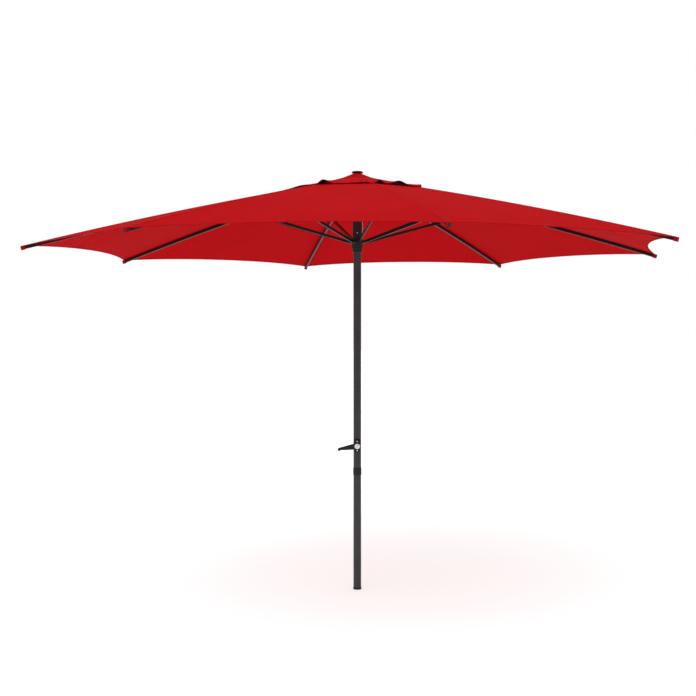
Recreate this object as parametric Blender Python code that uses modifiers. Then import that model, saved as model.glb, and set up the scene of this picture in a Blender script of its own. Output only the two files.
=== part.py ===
"""Crank-operated garden parasol with eight ribs, a vented canopy and a two-piece mast.

Metres, +Z up. The origin is the middle of the mast's foot, on the mast's axis. Rib 1 points
along +X and the others follow every 45 degrees, anticlockwise seen from above. The canopy is open.
"""

import math

import bmesh
import bpy
import numpy as np
from mathutils import Matrix, Vector

# Overall sizes
RIB_COUNT = 8
TIP_RADIUS = 2.0           # mast axis to the end of a rib's tip
HUB_PIVOT_HEIGHT = 2.518   # the ribs' pivots in the top hub
CANOPY_FALL = 0.440        # from the ribs' pivots down to the ribs' outer ends
RUNNER_DROP = 0.377        # from the ribs' pivots down to the struts' pivots, canopy open
GAP = 0.0003               # between pieces that rest on or clamp each other
RUNNING_GAP = 0.0005       # round pieces that slide or turn

# Mast
MAST_RADIUS = 0.024
MAST_WALL = 0.0015
MAST_RISE = 0.012          # top of the mast above the ribs' pivots
MAST_JOINT_HEIGHT = 0.728  # where the two tubes meet, inside the collar
MAST_LIP = 0.003           # ring in the collar that the upper tube stands on
COLLAR_HEIGHT = 0.046
COLLAR_WALL = 0.0022
COLLAR_CHAMFER = 0.0013
SPIGOT_DEPTH = 0.130       # reach of the spigot into the lower tube
SPIGOT_RISE = 0.110        # and into the upper tube
SPIGOT_WALL = 0.0018
SPIGOT_LEAD = 0.004        # length of the spigot's tapered end
SPIGOT_TAPER = 0.001
FOOT_FLOOR = 0.003
FOOT_HEIGHT = 0.0135
FOOT_WALL = 0.0012
FOOT_CHAMFER = 0.002

# Top hub and finial
PIVOT_OFFSET = 0.021       # the ribs' and the struts' inner pivots, out from the mast's surface
HUB_RIM = 0.007            # hub beyond the pivots
HUB_BELOW = 0.024
HUB_SLOT_TOP = 0.017
HUB_PLATE = 0.004
HUB_WALL = 0.0045          # from the mast's surface to the bottoms of the hub's slots
HUB_CHAMFER = 0.002
SIDE_CLEARANCE = 0.001     # on each side of a rib in its slot
SWING_CLEARANCE = 0.0009   # between a rib's inner end and the hub as the rib turns
NECK_RADIUS = 0.018
NECK_TOP = 0.051           # above the ribs' pivots
WIRE_RADIUS = 0.0015
FINIAL_RADIUS = 0.035
FINIAL_HEIGHT = 0.0135
FINIAL_ROUND = 0.006
FINIAL_FLAT = 0.70         # share of the finial's top that is flat

# Ribs
RIB_WIDTH = 0.014
RIB_DEPTH = 0.020
RIB_WALL = 0.001
RIB_BOW = 0.020            # rise of the bent rib's middle above its chord
WIRE_HOLE_CLEARANCE = 0.0009
RIB_STEPS = 3              # bends on each side of the bracket
TIP_LENGTH = 0.024
TIP_WALL = 0.0012
TIP_CHAMFER = 0.0014

# Brackets and struts
BRACKET_STATION = 0.781    # rib radius that the bracket grips
BRACKET_DROP = 0.030       # strut pivot below the rib's centre line
BRACKET_WALL = 0.002
BRACKET_HALF_LENGTH = 0.018
BRACKET_LAP = 0.012        # the saddle's sides, up the rib
BRACKET_EAR = 0.004        # ears at their full length, below the rib
EYE_RIM = 0.0015           # bracket's ears beyond the strut's eye
PIN_RADIUS = 0.003
PIN_HEAD = 0.001           # pin proud of each ear
STRUT_WIDTH = 0.010
STRUT_DEPTH = 0.016
STRUT_WALL = 0.0015
STRUT_EYE_RADIUS = 0.007
STRUT_NECK = 0.030         # from the pivot to the full depth of the tube
STUB_PIN_WIDTH = 0.013
DRAIN_SLOT = (0.004, 0.012)  # along the strut from its neck
DRAIN_WIDTH = 0.003

# Runner
RUNNER_RIM = 0.004         # slotted disc beyond the struts' pivots
DISC_HALF_HEIGHT = 0.008   # disc above and below the struts' pivots
RUNNER_ABOVE = 0.022       # body above the struts' pivots
RUNNER_BELOW = 0.041
RUNNER_CHAMFER = 0.002
BODY_WALL = 0.0100         # from the runner's bore to its body's outside
RUNNER_SLOT_WALL = 0.011   # from the runner's bore to the bottoms of its slots
STUB_CLEARANCE = 0.0009    # at each end of a strut's stub pin in its slot
SLEEVE_WALL = 0.004
SLEEVE_HEIGHT = 0.159      # top of the sleeve above the struts' pivots
SLEEVE_CHAMFER = 0.001
SKIRT_WALL = 0.0065
SKIRT_HEIGHT = 0.020

# Crank, on an axis that leaves the mast at this angle round it
CRANK_ANGLE = math.radians(-101.8)
CRANK_HEIGHT = 0.8875
CRANK_DROOP = math.radians(9)    # arm below level
HOUSING_WIDTH = 0.042
HOUSING_HEIGHT = 0.080
HOUSING_DEPTH = 0.016      # out from the mast's surface
HOUSING_BACK = 0.010       # its back corners, from the mast's axis
HOUSING_ROUND = 0.006
SCREW_SPACING = 0.054
SCREW_HEAD_RADIUS = 0.0045
SCREW_HEAD_DEPTH = 0.0025
SCREW_HEAD_EDGE = 0.001
SCREW_HEAD_FLAT = 0.6      # share of the head's radius
SCREW_SHANK_RADIUS = 0.002
SCREW_REACH = 0.004        # shank past the mast's wall
SPINDLE_RADIUS = 0.005
DRUM_RADIUS = 0.0095
DRUM_FLANGE = 0.0140
DRUM_HALF_LENGTH = 0.008
DRUM_FLANGE_WIDTH = 0.002
DRUM_FLANGE_ROOT = 0.003
SPINDLE_TAIL = 0.003       # spindle past the drum
SPINDLE_CHAMFER = 0.0005
ARM_REACH = 0.112
ARM_HUB_RADIUS = 0.0205
ARM_END_RADIUS = 0.0075
ARM_THICKNESS = 0.010
ARM_CLEARANCE = 0.002      # between the housing and the arm
ARM_ROUND = 0.0015
CAP_RADIUS = 0.0175
CAP_HEIGHT = 0.004
KNOB_RADIUS = 0.0095
KNOB_LENGTH = 0.028
KNOB_CROWN = 0.004
KNOB_WAIST = 0.003         # height of the narrower foot
KNOB_TAPER = (0.0015, 0.003)  # in from the knob's radius above the foot and at it
KNOB_PIN_INSET = 0.001

# Lift cord and its pulley, in the plane midway between ribs 8 and 1
CORD_ANGLE = math.radians(-22.5)
CORD_RADIUS = 0.0015
CORD_INNER = -0.008        # run inside the mast, across its axis
CORD_CLEARANCE = 0.003     # between the outer run and the runner's sleeve
CORD_RISE = 0.030          # upright run off the drum
CORD_LEAD = 0.080          # upright run below the pulley
PULLEY_DROP = 0.060        # pulley axis below the ribs' pivots
PULLEY_HALF_WIDTH = 0.0028
PULLEY_LIP = 0.0004        # edge of each rim
GROOVE_HALF_WIDTH = 0.0017
SLOT_CLEARANCE = 0.001     # on each side of the pulley in the mast's slot
SLOT_END_CLEARANCE = 0.0022
AXLE_RADIUS = 0.002
AXLE_INSET = 0.0004        # axle's ends below the mast's surface

# Canopy
FABRIC = 0.0012
FABRIC_CLEARANCE = 0.0001  # main canopy above the tips' caps, along each rib
CORNER_INSET = 0.026       # from the ribs' ends to the main canopy's corners
HEM_SAGITTA = 0.075        # inward curve of the hem between two corners
VENT_HOLE_RADIUS = 0.360
VENT_RADIUS = 0.455
VENT_LIFT = 0.0020         # vent cap above the main canopy at its corners
VENT_NECK_DROP = 0.0024    # cap's underside below the finial, at the neck
VENT_PEAK = 0.034          # steepening of the cap towards the finial
VENT_PEAK_REACH = 0.030
VENT_SAGITTA = 0.012       # inward curve of the cap's hem
VENT_BOW = 0.026           # rise of the cap's hem between its corners

SECTOR = 2 * math.pi / RIB_COUNT
HALF_SECTOR = SECTOR / 2

# Sizes that follow from those above
RUNNER_PIVOT_HEIGHT = HUB_PIVOT_HEIGHT - RUNNER_DROP
TIP_HEIGHT = HUB_PIVOT_HEIGHT - CANOPY_FALL  # a rib's centre line at its outer end
MAST_TOP = HUB_PIVOT_HEIGHT + MAST_RISE
MAST_BORE = MAST_RADIUS - MAST_WALL
UPPER_MAST_FOOT = MAST_JOINT_HEIGHT + MAST_LIP / 2 + GAP
PIVOT_RADIUS = MAST_RADIUS + PIVOT_OFFSET
HUB_BORE = MAST_RADIUS + GAP
HUB_RADIUS = PIVOT_RADIUS + HUB_RIM
HUB_SLOT_FLOOR = MAST_RADIUS + HUB_WALL
RIB_SWING = PIVOT_RADIUS - HUB_SLOT_FLOOR - SWING_CLEARANCE
RIB_INSET = math.sqrt(RIB_SWING ** 2 - (RIB_DEPTH / 2) ** 2)  # tube past the pivot, inwards
RUNNER_BORE = MAST_RADIUS + RUNNING_GAP
RUNNER_RADIUS = PIVOT_RADIUS + RUNNER_RIM
RUNNER_SLOT_FLOOR = RUNNER_BORE + RUNNER_SLOT_WALL
RUNNER_SLOT_WIDTH = STUB_PIN_WIDTH + 2 * STUB_CLEARANCE
BODY_RADIUS = RUNNER_BORE + BODY_WALL
SLEEVE_RADIUS = RUNNER_BORE + SLEEVE_WALL
SKIRT_RADIUS = RUNNER_BORE + SKIRT_WALL
HOUSING_FRONT = MAST_RADIUS + HOUSING_DEPTH
CORD_OUTER = SLEEVE_RADIUS + CORD_CLEARANCE + CORD_RADIUS  # run outside the mast, from its axis
PULLEY_RADIUS = (CORD_OUTER - CORD_INNER) / 2
PULLEY_RIM = PULLEY_RADIUS + CORD_RADIUS
PULLEY_CENTRE = (CORD_OUTER + CORD_INNER) / 2
PULLEY_HEIGHT = HUB_PIVOT_HEIGHT - PULLEY_DROP
AXLE_LENGTH = 2 * math.sqrt((MAST_RADIUS - AXLE_INSET) ** 2 - PULLEY_CENTRE ** 2)
FABRIC_LIFT = TIP_WALL + GAP + FABRIC_CLEARANCE
CORNER_RADIUS = TIP_RADIUS - CORNER_INSET

# Names of the collections
PART = "garden_parasol"
CUTTERS = "cutters"


def clear_scene():
    for obj in list(bpy.data.objects):
        bpy.data.objects.remove(obj, do_unlink=True)


def collection(name, hidden=False):
    made = bpy.data.collections.new(name)
    bpy.context.scene.collection.children.link(made)
    made.hide_render = hidden
    return made


def material(name, colour, roughness, metallic=0.0):
    made = bpy.data.materials.new(name)
    made.use_nodes = True
    shader = made.node_tree.nodes["Principled BSDF"]
    shader.inputs["Base Color"].default_value = (*colour, 1)
    shader.inputs["Roughness"].default_value = roughness
    shader.inputs["Metallic"].default_value = metallic
    return made


clear_scene()
part = collection(PART)
cutters = collection(CUTTERS, hidden=True)

COATED_STEEL = material("coated_steel", (0.045, 0.047, 0.050), 0.42, 0.3)
BLACK_PLASTIC = material("black_plastic", (0.018, 0.018, 0.019), 0.50)
BRIGHT_STEEL = material("bright_steel", (0.62, 0.62, 0.63), 0.28, 1.0)
CORD_WHITE = material("braided_cord", (0.55, 0.52, 0.50), 0.85)
CANOPY_RED = material("canopy_cloth", (0.48, 0.008, 0.012), 0.80)


# ---- Building blocks

def add(name, mesh, finish, parent=None, matrix=None, home=None):
    """Put a mesh in the scene; with a parent, the matrix is in the parent's frame."""
    obj = bpy.data.objects.new(name, mesh)
    (home or part).objects.link(obj)
    if finish is not None and not mesh.materials:
        mesh.materials.append(finish)
    obj.parent = parent
    obj.matrix_local = matrix or Matrix.Identity(4)
    return obj


def joint_empty(name, location, angle=0.0, parent=None):
    """An empty on a joint's axis, turned about Z."""
    obj = bpy.data.objects.new(name, None)
    part.objects.link(obj)
    obj.empty_display_size = 0.03
    obj.parent = parent
    obj.matrix_local = Matrix.Translation(location) @ Matrix.Rotation(angle, 4, "Z")
    return obj


def mesh_from(build, name):
    work = bmesh.new()
    build(work)
    bmesh.ops.recalc_face_normals(work, faces=work.faces)
    mesh = bpy.data.meshes.new(name)
    work.to_mesh(mesh)
    work.free()
    return mesh


def box_mesh(name, low, high):
    low, high = Vector(low), Vector(high)
    size = high - low
    place = Matrix.Translation((low + high) / 2) @ Matrix.Diagonal((*size, 1))
    return mesh_from(lambda work: bmesh.ops.create_cube(work, size=1, matrix=place), name)


def rod_mesh(name, radius, start, end, segments=24):
    """A round bar between two points."""
    start, end = Vector(start), Vector(end)
    turn = (end - start).to_track_quat("Z", "Y").to_matrix().to_4x4()
    place = Matrix.Translation((start + end) / 2) @ turn
    return mesh_from(
        lambda work: bmesh.ops.create_cone(
            work, cap_ends=True, segments=segments, radius1=radius, radius2=radius,
            depth=(end - start).length, matrix=place,
        ),
        name,
    )


def turned(name, profile, finish, segments=24, parent=None, matrix=None, home=None):
    """A profile of (radius, height) points, top to bottom down its outer side, turned about Z."""
    mesh = bpy.data.meshes.new(name)
    points = [(radius, 0, height) for radius, height in profile]
    closed = abs(profile[0][0]) > 1e-6
    edges = [(i, i + 1) for i in range(len(points) - 1)]
    if closed:
        edges.append((len(points) - 1, 0))
    mesh.from_pydata(points, edges, [])
    obj = add(name, mesh, finish, parent, matrix, home)
    screw = obj.modifiers.new("turn", "SCREW")
    screw.steps = screw.render_steps = segments
    screw.use_merge_vertices = True
    screw.merge_threshold = 1e-5
    screw.use_smooth_shade = True
    return obj


def cutter(name, mesh, parent=None, matrix=None):
    obj = add(name, mesh, None, parent, matrix, cutters)
    obj.hide_render = True
    obj.display_type = "WIRE"
    return obj


def boolean(target, tool, operation="DIFFERENCE"):
    cut = target.modifiers.new(tool.name, "BOOLEAN")
    cut.operation = operation
    cut.solver = "EXACT"
    cut.object = tool


def rounded(obj, width, segments=2, angle=30):
    bevel = obj.modifiers.new("edges", "BEVEL")
    bevel.width = width
    bevel.segments = segments
    bevel.limit_method = "ANGLE"
    bevel.angle_limit = math.radians(angle)


def arc(centre, radius, start, end, steps):
    """Points round a centre from one angle to another, in degrees."""
    angles = np.radians(np.linspace(start, end, steps + 1))
    return [(centre[0] + radius * math.cos(a), centre[1] + radius * math.sin(a)) for a in angles]


def plate(name, outline, thickness, finish, parent=None, matrix=None, home=None):
    """A flat outline in the XY plane, thickened evenly about it, as a mesh."""
    curve = bpy.data.curves.new(name, "CURVE")
    curve.dimensions = "2D"
    curve.fill_mode = "BOTH"
    curve.extrude = thickness / 2
    spline = curve.splines.new("POLY")
    spline.points.add(len(outline) - 1)
    for point, (x, y) in zip(spline.points, outline):
        point.co = (x, y, 0, 1)
    spline.use_cyclic_u = True
    return as_mesh(name, curve, finish, parent, matrix, home)


def as_mesh(name, curve, finish, parent=None, matrix=None, home=None):
    """Replace a curve by the closed mesh that it draws."""
    guide = bpy.data.objects.new(name + "_curve", curve)
    cutters.objects.link(guide)
    graph = bpy.context.evaluated_depsgraph_get()
    graph.update()
    mesh = bpy.data.meshes.new_from_object(guide.evaluated_get(graph))
    bpy.data.objects.remove(guide)
    work = bmesh.new()
    work.from_mesh(mesh)
    bmesh.ops.remove_doubles(work, verts=work.verts, dist=1e-6)
    bmesh.ops.recalc_face_normals(work, faces=work.faces)
    work.to_mesh(mesh)
    work.free()
    mesh.name = name
    return add(name, mesh, finish, parent, matrix, home)


def baked(obj, name):
    """The mesh that an object's modifiers give, for its copies to share; the object is removed."""
    graph = bpy.context.evaluated_depsgraph_get()
    graph.update()
    mesh = bpy.data.meshes.new_from_object(obj.evaluated_get(graph))
    mesh.transform(obj.matrix_world)
    bpy.data.objects.remove(obj)
    mesh.name = name
    mesh.shade_smooth()
    mesh.set_sharp_from_angle(angle=math.radians(35))
    return mesh


def radial(angle, distance, height):
    return Vector((distance * math.cos(angle), distance * math.sin(angle), height))


def spokes(name, low, high):
    """One cutting box for each rib direction, given in that direction's own frame."""
    box = box_mesh(name, low, high)

    def build(work):
        for k in range(RIB_COUNT):
            start = len(work.verts)
            work.from_mesh(box)
            work.verts.ensure_lookup_table()
            bmesh.ops.rotate(
                work, verts=work.verts[start:], cent=(0, 0, 0),
                matrix=Matrix.Rotation(k * SECTOR, 3, "Z"),
            )
    return cutter(name, mesh_from(build, name))


# ---- The umbrella's linkage, in the upright plane of one rib: x outwards, z up

CHORD_RUN = TIP_RADIUS - PIVOT_RADIUS
CHORD_FALL = HUB_PIVOT_HEIGHT - TIP_HEIGHT


def rib_height(radius):
    """Height of the bent rib's centre line: a straight fall and a parabolic bow."""
    share = (radius - PIVOT_RADIUS) / CHORD_RUN
    return HUB_PIVOT_HEIGHT - CHORD_FALL * share + 4 * RIB_BOW * share * (1 - share)


def rib_fall(radius):
    """The rib's angle below level at a radius."""
    share = (radius - PIVOT_RADIUS) / CHORD_RUN
    return math.atan((CHORD_FALL - 4 * RIB_BOW * (1 - 2 * share)) / CHORD_RUN)


BRACKET_TILT = rib_fall(BRACKET_STATION)
STRUT_PIVOT = Vector((
    BRACKET_STATION - BRACKET_DROP * math.sin(BRACKET_TILT),
    0,
    rib_height(BRACKET_STATION) - BRACKET_DROP * math.cos(BRACKET_TILT),
))
RUNNER_PIVOT = Vector((PIVOT_RADIUS, 0, RUNNER_PIVOT_HEIGHT))
STRUT_LENGTH = (STRUT_PIVOT - RUNNER_PIVOT).length
STRUT_FALL = math.asin((STRUT_PIVOT.z - RUNNER_PIVOT.z) / STRUT_LENGTH)


# ---- Mast

def lower_mast():
    tube = [
        (MAST_RADIUS, MAST_JOINT_HEIGHT - MAST_LIP / 2 - GAP), (MAST_RADIUS, FOOT_FLOOR + GAP),
        (MAST_BORE, FOOT_FLOOR + GAP), (MAST_BORE, MAST_JOINT_HEIGHT - MAST_LIP / 2 - GAP),
    ]
    turned("lower_mast", tube, COATED_STEEL)
    inner = MAST_RADIUS + GAP
    outer = inner + FOOT_WALL
    turned("foot_cap", [
        (inner, FOOT_HEIGHT), (outer - FOOT_WALL / 3, FOOT_HEIGHT), (outer, FOOT_HEIGHT - FOOT_WALL),
        (outer, FOOT_CHAMFER), (outer - FOOT_CHAMFER, 0), (0, 0),
        (0, FOOT_FLOOR), (inner, FOOT_FLOOR),
    ], BLACK_PLASTIC)


def mast_collar():
    """Sleeve round the joint, with an inner lip between the two tubes."""
    inner = MAST_RADIUS + GAP
    outer = inner + COLLAR_WALL
    top = MAST_JOINT_HEIGHT + COLLAR_HEIGHT / 2
    bottom = MAST_JOINT_HEIGHT - COLLAR_HEIGHT / 2
    lip = MAST_BORE
    chamfer = COLLAR_CHAMFER
    turned("mast_collar", [
        (inner + RUNNING_GAP, top), (outer - chamfer, top), (outer, top - 2 * chamfer),
        (outer, bottom + 2 * chamfer), (outer - chamfer, bottom), (inner, bottom),
        (inner, MAST_JOINT_HEIGHT - MAST_LIP / 2), (lip, MAST_JOINT_HEIGHT - MAST_LIP / 2),
        (lip, MAST_JOINT_HEIGHT + MAST_LIP / 2),
        (inner + RUNNING_GAP, MAST_JOINT_HEIGHT + MAST_LIP / 2),
    ], BLACK_PLASTIC)


def crank_frame(out=0.0, rise=0.0):
    """The frame of the crank's axis: Z along it away from the mast, Y up, moved out along it."""
    outward = radial(CRANK_ANGLE, 1, 0)
    side = Vector((0, 0, 1)).cross(outward)
    turn = Matrix((side, Vector((0, 0, 1)), outward)).transposed().to_4x4()
    origin = outward * out + Vector((0, 0, CRANK_HEIGHT + rise))
    return Matrix.Translation(origin) @ turn


def upper_mast():
    tube = turned("upper_mast", [
        (MAST_RADIUS, MAST_TOP), (MAST_RADIUS, UPPER_MAST_FOOT),
        (MAST_BORE, UPPER_MAST_FOOT), (MAST_BORE, MAST_TOP),
    ], COATED_STEEL)
    spindle_hole = rod_mesh(
        "spindle_hole", SPINDLE_RADIUS + RUNNING_GAP, (0, 0, 0), (0, 0, 2 * MAST_RADIUS)
    )
    boolean(tube, cutter("spindle_hole", spindle_hole, matrix=crank_frame()))
    for side, name in ((1, "upper"), (-1, "lower")):
        hole = rod_mesh(
            f"screw_hole_{name}", SCREW_SHANK_RADIUS + GAP, (0, 0, 0), (0, 0, 2 * MAST_RADIUS), 12
        )
        place = crank_frame(rise=side * SCREW_SPACING / 2)
        boolean(tube, cutter(f"screw_hole_{name}", hole, matrix=place))
    reach = PULLEY_RIM + SLOT_END_CLEARANCE
    half = PULLEY_HALF_WIDTH + SLOT_CLEARANCE
    slot = box_mesh("cord_slot", (0, -half, -reach), (2 * MAST_RADIUS, half, reach))
    turn = Matrix.Rotation(CORD_ANGLE, 4, "Z")
    place = Matrix.Translation((0, 0, PULLEY_HEIGHT)) @ turn
    boolean(tube, cutter("cord_slot", slot, matrix=place))
    axle_hole = rod_mesh(
        "axle_hole", AXLE_RADIUS + RUNNING_GAP, (PULLEY_CENTRE, -2 * MAST_RADIUS, 0),
        (PULLEY_CENTRE, 2 * MAST_RADIUS, 0), 16,
    )
    boolean(tube, cutter("axle_hole", axle_hole, matrix=place))
    outer = MAST_BORE - RUNNING_GAP
    top, bottom = MAST_JOINT_HEIGHT + SPIGOT_RISE, MAST_JOINT_HEIGHT - SPIGOT_DEPTH
    turned("mast_spigot", [
        (outer, top), (outer, bottom + SPIGOT_LEAD), (outer - SPIGOT_TAPER, bottom),
        (outer - SPIGOT_WALL, bottom), (outer - SPIGOT_WALL, top),
    ], COATED_STEEL)


# ---- Top hub, finial and pulley

def torus_mesh(name, ring_radius, wire_radius, height, sides=8):
    """A ring of round wire lying level, its corners midway between the ribs' sides."""
    def build(work):
        circle = bmesh.ops.create_circle(
            work, segments=sides, radius=wire_radius,
            matrix=Matrix.Translation((ring_radius, 0, height)) @ Matrix.Rotation(math.pi / 2, 4, "X"),
        )["verts"]
        edges = list({edge for vert in circle for edge in vert.link_edges})
        bmesh.ops.spin(
            work, geom=circle + edges, cent=(0, 0, 0), axis=(0, 0, 1),
            angle=2 * math.pi, steps=4 * RIB_COUNT, use_merge=True,
        )
        bmesh.ops.remove_doubles(work, verts=work.verts, dist=1e-6)
    return mesh_from(build, name)


def top_hub():
    pivot = HUB_PIVOT_HEIGHT
    plate_bottom = pivot + HUB_SLOT_TOP
    hub = turned("top_hub", [
        (0, pivot + NECK_TOP), (NECK_RADIUS, pivot + NECK_TOP),
        (NECK_RADIUS, plate_bottom + HUB_PLATE),
        (HUB_RADIUS - HUB_CHAMFER, plate_bottom + HUB_PLATE),
        (HUB_RADIUS, plate_bottom + HUB_PLATE - HUB_CHAMFER),
        (HUB_RADIUS, pivot - HUB_BELOW + HUB_CHAMFER),
        (HUB_RADIUS - HUB_CHAMFER, pivot - HUB_BELOW), (HUB_BORE, pivot - HUB_BELOW),
        (HUB_BORE, MAST_TOP + GAP), (0, MAST_TOP + GAP),
    ], BLACK_PLASTIC)
    half = RIB_WIDTH / 2 + SIDE_CLEARANCE
    slots = spokes(
        "hub_slots", (HUB_SLOT_FLOOR, -half, pivot - 2 * HUB_BELOW),
        (2 * HUB_RADIUS, half, plate_bottom),
    )
    boolean(hub, slots)
    groove = torus_mesh("wire_groove", PIVOT_RADIUS, WIRE_RADIUS + GAP, pivot)
    boolean(hub, cutter("wire_groove", groove))
    add("hub_ring_wire", torus_mesh("hub_ring_wire", PIVOT_RADIUS, WIRE_RADIUS, pivot), BRIGHT_STEEL)


def finial():
    base = HUB_PIVOT_HEIGHT + NECK_TOP + GAP
    top = base + FINIAL_HEIGHT
    shoulder = arc((FINIAL_FLAT * FINIAL_RADIUS, top - FINIAL_ROUND), FINIAL_ROUND, 90, 20, 4)
    turned("finial", [
        (0, top), *shoulder, (FINIAL_RADIUS, top - 4 * FINIAL_ROUND / 3),
        (FINIAL_RADIUS, base + FINIAL_ROUND / 3), (FINIAL_RADIUS - FINIAL_ROUND / 3, base), (0, base),
    ], BLACK_PLASTIC)


def pulley():
    """Grooved wheel with its axle, across the slot in the mast's wall."""
    groove = PULLEY_RADIUS - CORD_RADIUS - GAP
    half, lip = PULLEY_HALF_WIDTH, PULLEY_HALF_WIDTH - PULLEY_LIP
    place = Matrix.Translation(radial(CORD_ANGLE, PULLEY_CENTRE, PULLEY_HEIGHT)) @ \
        Matrix.Rotation(CORD_ANGLE, 4, "Z") @ Matrix.Rotation(math.pi / 2, 4, "X")
    turned("cord_pulley", [
        (0, AXLE_LENGTH / 2), (AXLE_RADIUS, AXLE_LENGTH / 2), (AXLE_RADIUS, half),
        (PULLEY_RIM, half), (PULLEY_RIM, lip), (groove, GROOVE_HALF_WIDTH),
        (groove, -GROOVE_HALF_WIDTH), (PULLEY_RIM, -lip), (PULLEY_RIM, -half), (AXLE_RADIUS, -half),
        (AXLE_RADIUS, -AXLE_LENGTH / 2), (0, -AXLE_LENGTH / 2),
    ], BLACK_PLASTIC, segments=16, matrix=place)


def lift_cord():
    """From the drum up inside the mast, over the pulley and down to the runner's body."""
    side = CRANK_ANGLE + math.pi / 2
    drum_edge = DRUM_RADIUS + CORD_RADIUS + GAP
    route = [radial(side, drum_edge, CRANK_HEIGHT)]
    route.append(radial(side, drum_edge, CRANK_HEIGHT + CORD_RISE))
    route.append(radial(CORD_ANGLE, CORD_INNER, PULLEY_HEIGHT - CORD_LEAD))
    for turn in np.radians(np.linspace(180, 0, 9)):
        distance = PULLEY_CENTRE + PULLEY_RADIUS * math.cos(turn)
        route.append(radial(CORD_ANGLE, distance, PULLEY_HEIGHT + PULLEY_RADIUS * math.sin(turn)))
    route.append(radial(CORD_ANGLE, CORD_OUTER, RUNNER_PIVOT_HEIGHT + RUNNER_ABOVE + GAP))
    curve = bpy.data.curves.new("lift_cord", "CURVE")
    curve.dimensions = "3D"
    curve.bevel_depth = CORD_RADIUS
    curve.bevel_resolution = 2
    curve.use_fill_caps = True
    spline = curve.splines.new("POLY")
    spline.points.add(len(route) - 1)
    for point, place in zip(spline.points, route):
        point.co = (*place, 1)
    as_mesh("lift_cord", curve, CORD_WHITE)


# ---- Runner

def runner():
    pivot = RUNNER_PIVOT_HEIGHT
    top, base = pivot + RUNNER_ABOVE, pivot - RUNNER_BELOW
    disc_top, disc_base = pivot + DISC_HALF_HEIGHT, pivot - DISC_HALF_HEIGHT
    sleeve, skirt = pivot + SLEEVE_HEIGHT, base - SKIRT_HEIGHT
    chamfer = RUNNER_CHAMFER
    obj = turned("runner", [
        (RUNNER_BORE, sleeve), (SLEEVE_RADIUS - SLEEVE_CHAMFER, sleeve),
        (SLEEVE_RADIUS, sleeve - SLEEVE_CHAMFER), (SLEEVE_RADIUS, top),
        (BODY_RADIUS - SLEEVE_CHAMFER, top), (BODY_RADIUS, top - SLEEVE_CHAMFER),
        (BODY_RADIUS, disc_top),
        (RUNNER_RADIUS - chamfer, disc_top), (RUNNER_RADIUS, disc_top - chamfer),
        (RUNNER_RADIUS, disc_base + chamfer), (RUNNER_RADIUS - chamfer, disc_base),
        (BODY_RADIUS, disc_base), (BODY_RADIUS, base + chamfer), (BODY_RADIUS - chamfer, base),
        (SKIRT_RADIUS, base), (SKIRT_RADIUS, skirt + chamfer), (SKIRT_RADIUS - chamfer, skirt),
        (RUNNER_BORE, skirt),
    ], BLACK_PLASTIC)
    half = RUNNER_SLOT_WIDTH / 2
    slots = spokes(
        "runner_slots", (RUNNER_SLOT_FLOOR, -half, pivot - 2 * RUNNER_BELOW),
        (2 * RUNNER_RADIUS, half, pivot + 2 * RUNNER_ABOVE),
    )
    boolean(obj, slots)


# ---- Crank

def crank_housing():
    half_width = HOUSING_WIDTH / 2
    half_height = HOUSING_HEIGHT / 2
    frame = crank_frame()
    body = add("crank_housing", box_mesh(
        "crank_housing", (-half_width, -half_height, HOUSING_BACK),
        (half_width, half_height, HOUSING_FRONT),
    ), BLACK_PLASTIC, matrix=frame)
    rounded(body, HOUSING_ROUND)
    saddle = rod_mesh(
        "housing_saddle", MAST_RADIUS + GAP, (0, 0, CRANK_HEIGHT - HOUSING_HEIGHT),
        (0, 0, CRANK_HEIGHT + HOUSING_HEIGHT), 32,
    )
    boolean(body, cutter("housing_saddle", saddle))
    bore = rod_mesh("housing_bore", SPINDLE_RADIUS + RUNNING_GAP, (0, 0, 0), (0, 0, 0.1))
    boolean(body, cutter("housing_bore", bore, matrix=frame))
    head_seat = HOUSING_FRONT - SCREW_HEAD_DEPTH - 2 * GAP
    for side, name in ((1, "upper"), (-1, "lower")):
        place = crank_frame(rise=side * SCREW_SPACING / 2)
        well = rod_mesh(f"screw_well_{name}", SCREW_HEAD_RADIUS + GAP, (0, 0, head_seat), (0, 0, 0.1))
        boolean(body, cutter(f"screw_well_{name}", well, matrix=place))
        hole = rod_mesh(
            f"shank_hole_{name}", SCREW_SHANK_RADIUS + GAP, (0, 0, 0), (0, 0, 0.099), 12
        )
        boolean(body, cutter(f"shank_hole_{name}", hole, matrix=place))
        top = HOUSING_FRONT - GAP
        turned(f"housing_screw_{name}", [
            (0, top), (SCREW_HEAD_FLAT * SCREW_HEAD_RADIUS, top),
            (SCREW_HEAD_RADIUS, top - SCREW_HEAD_EDGE),
            (SCREW_HEAD_RADIUS, top - SCREW_HEAD_DEPTH),
            (SCREW_SHANK_RADIUS, top - SCREW_HEAD_DEPTH),
            (SCREW_SHANK_RADIUS, MAST_BORE - SCREW_REACH), (0, MAST_BORE - SCREW_REACH),
        ], BRIGHT_STEEL, segments=14, matrix=place)


ARM_BACK = HOUSING_FRONT + ARM_CLEARANCE
ARM_FRONT = ARM_BACK + ARM_THICKNESS


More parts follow.
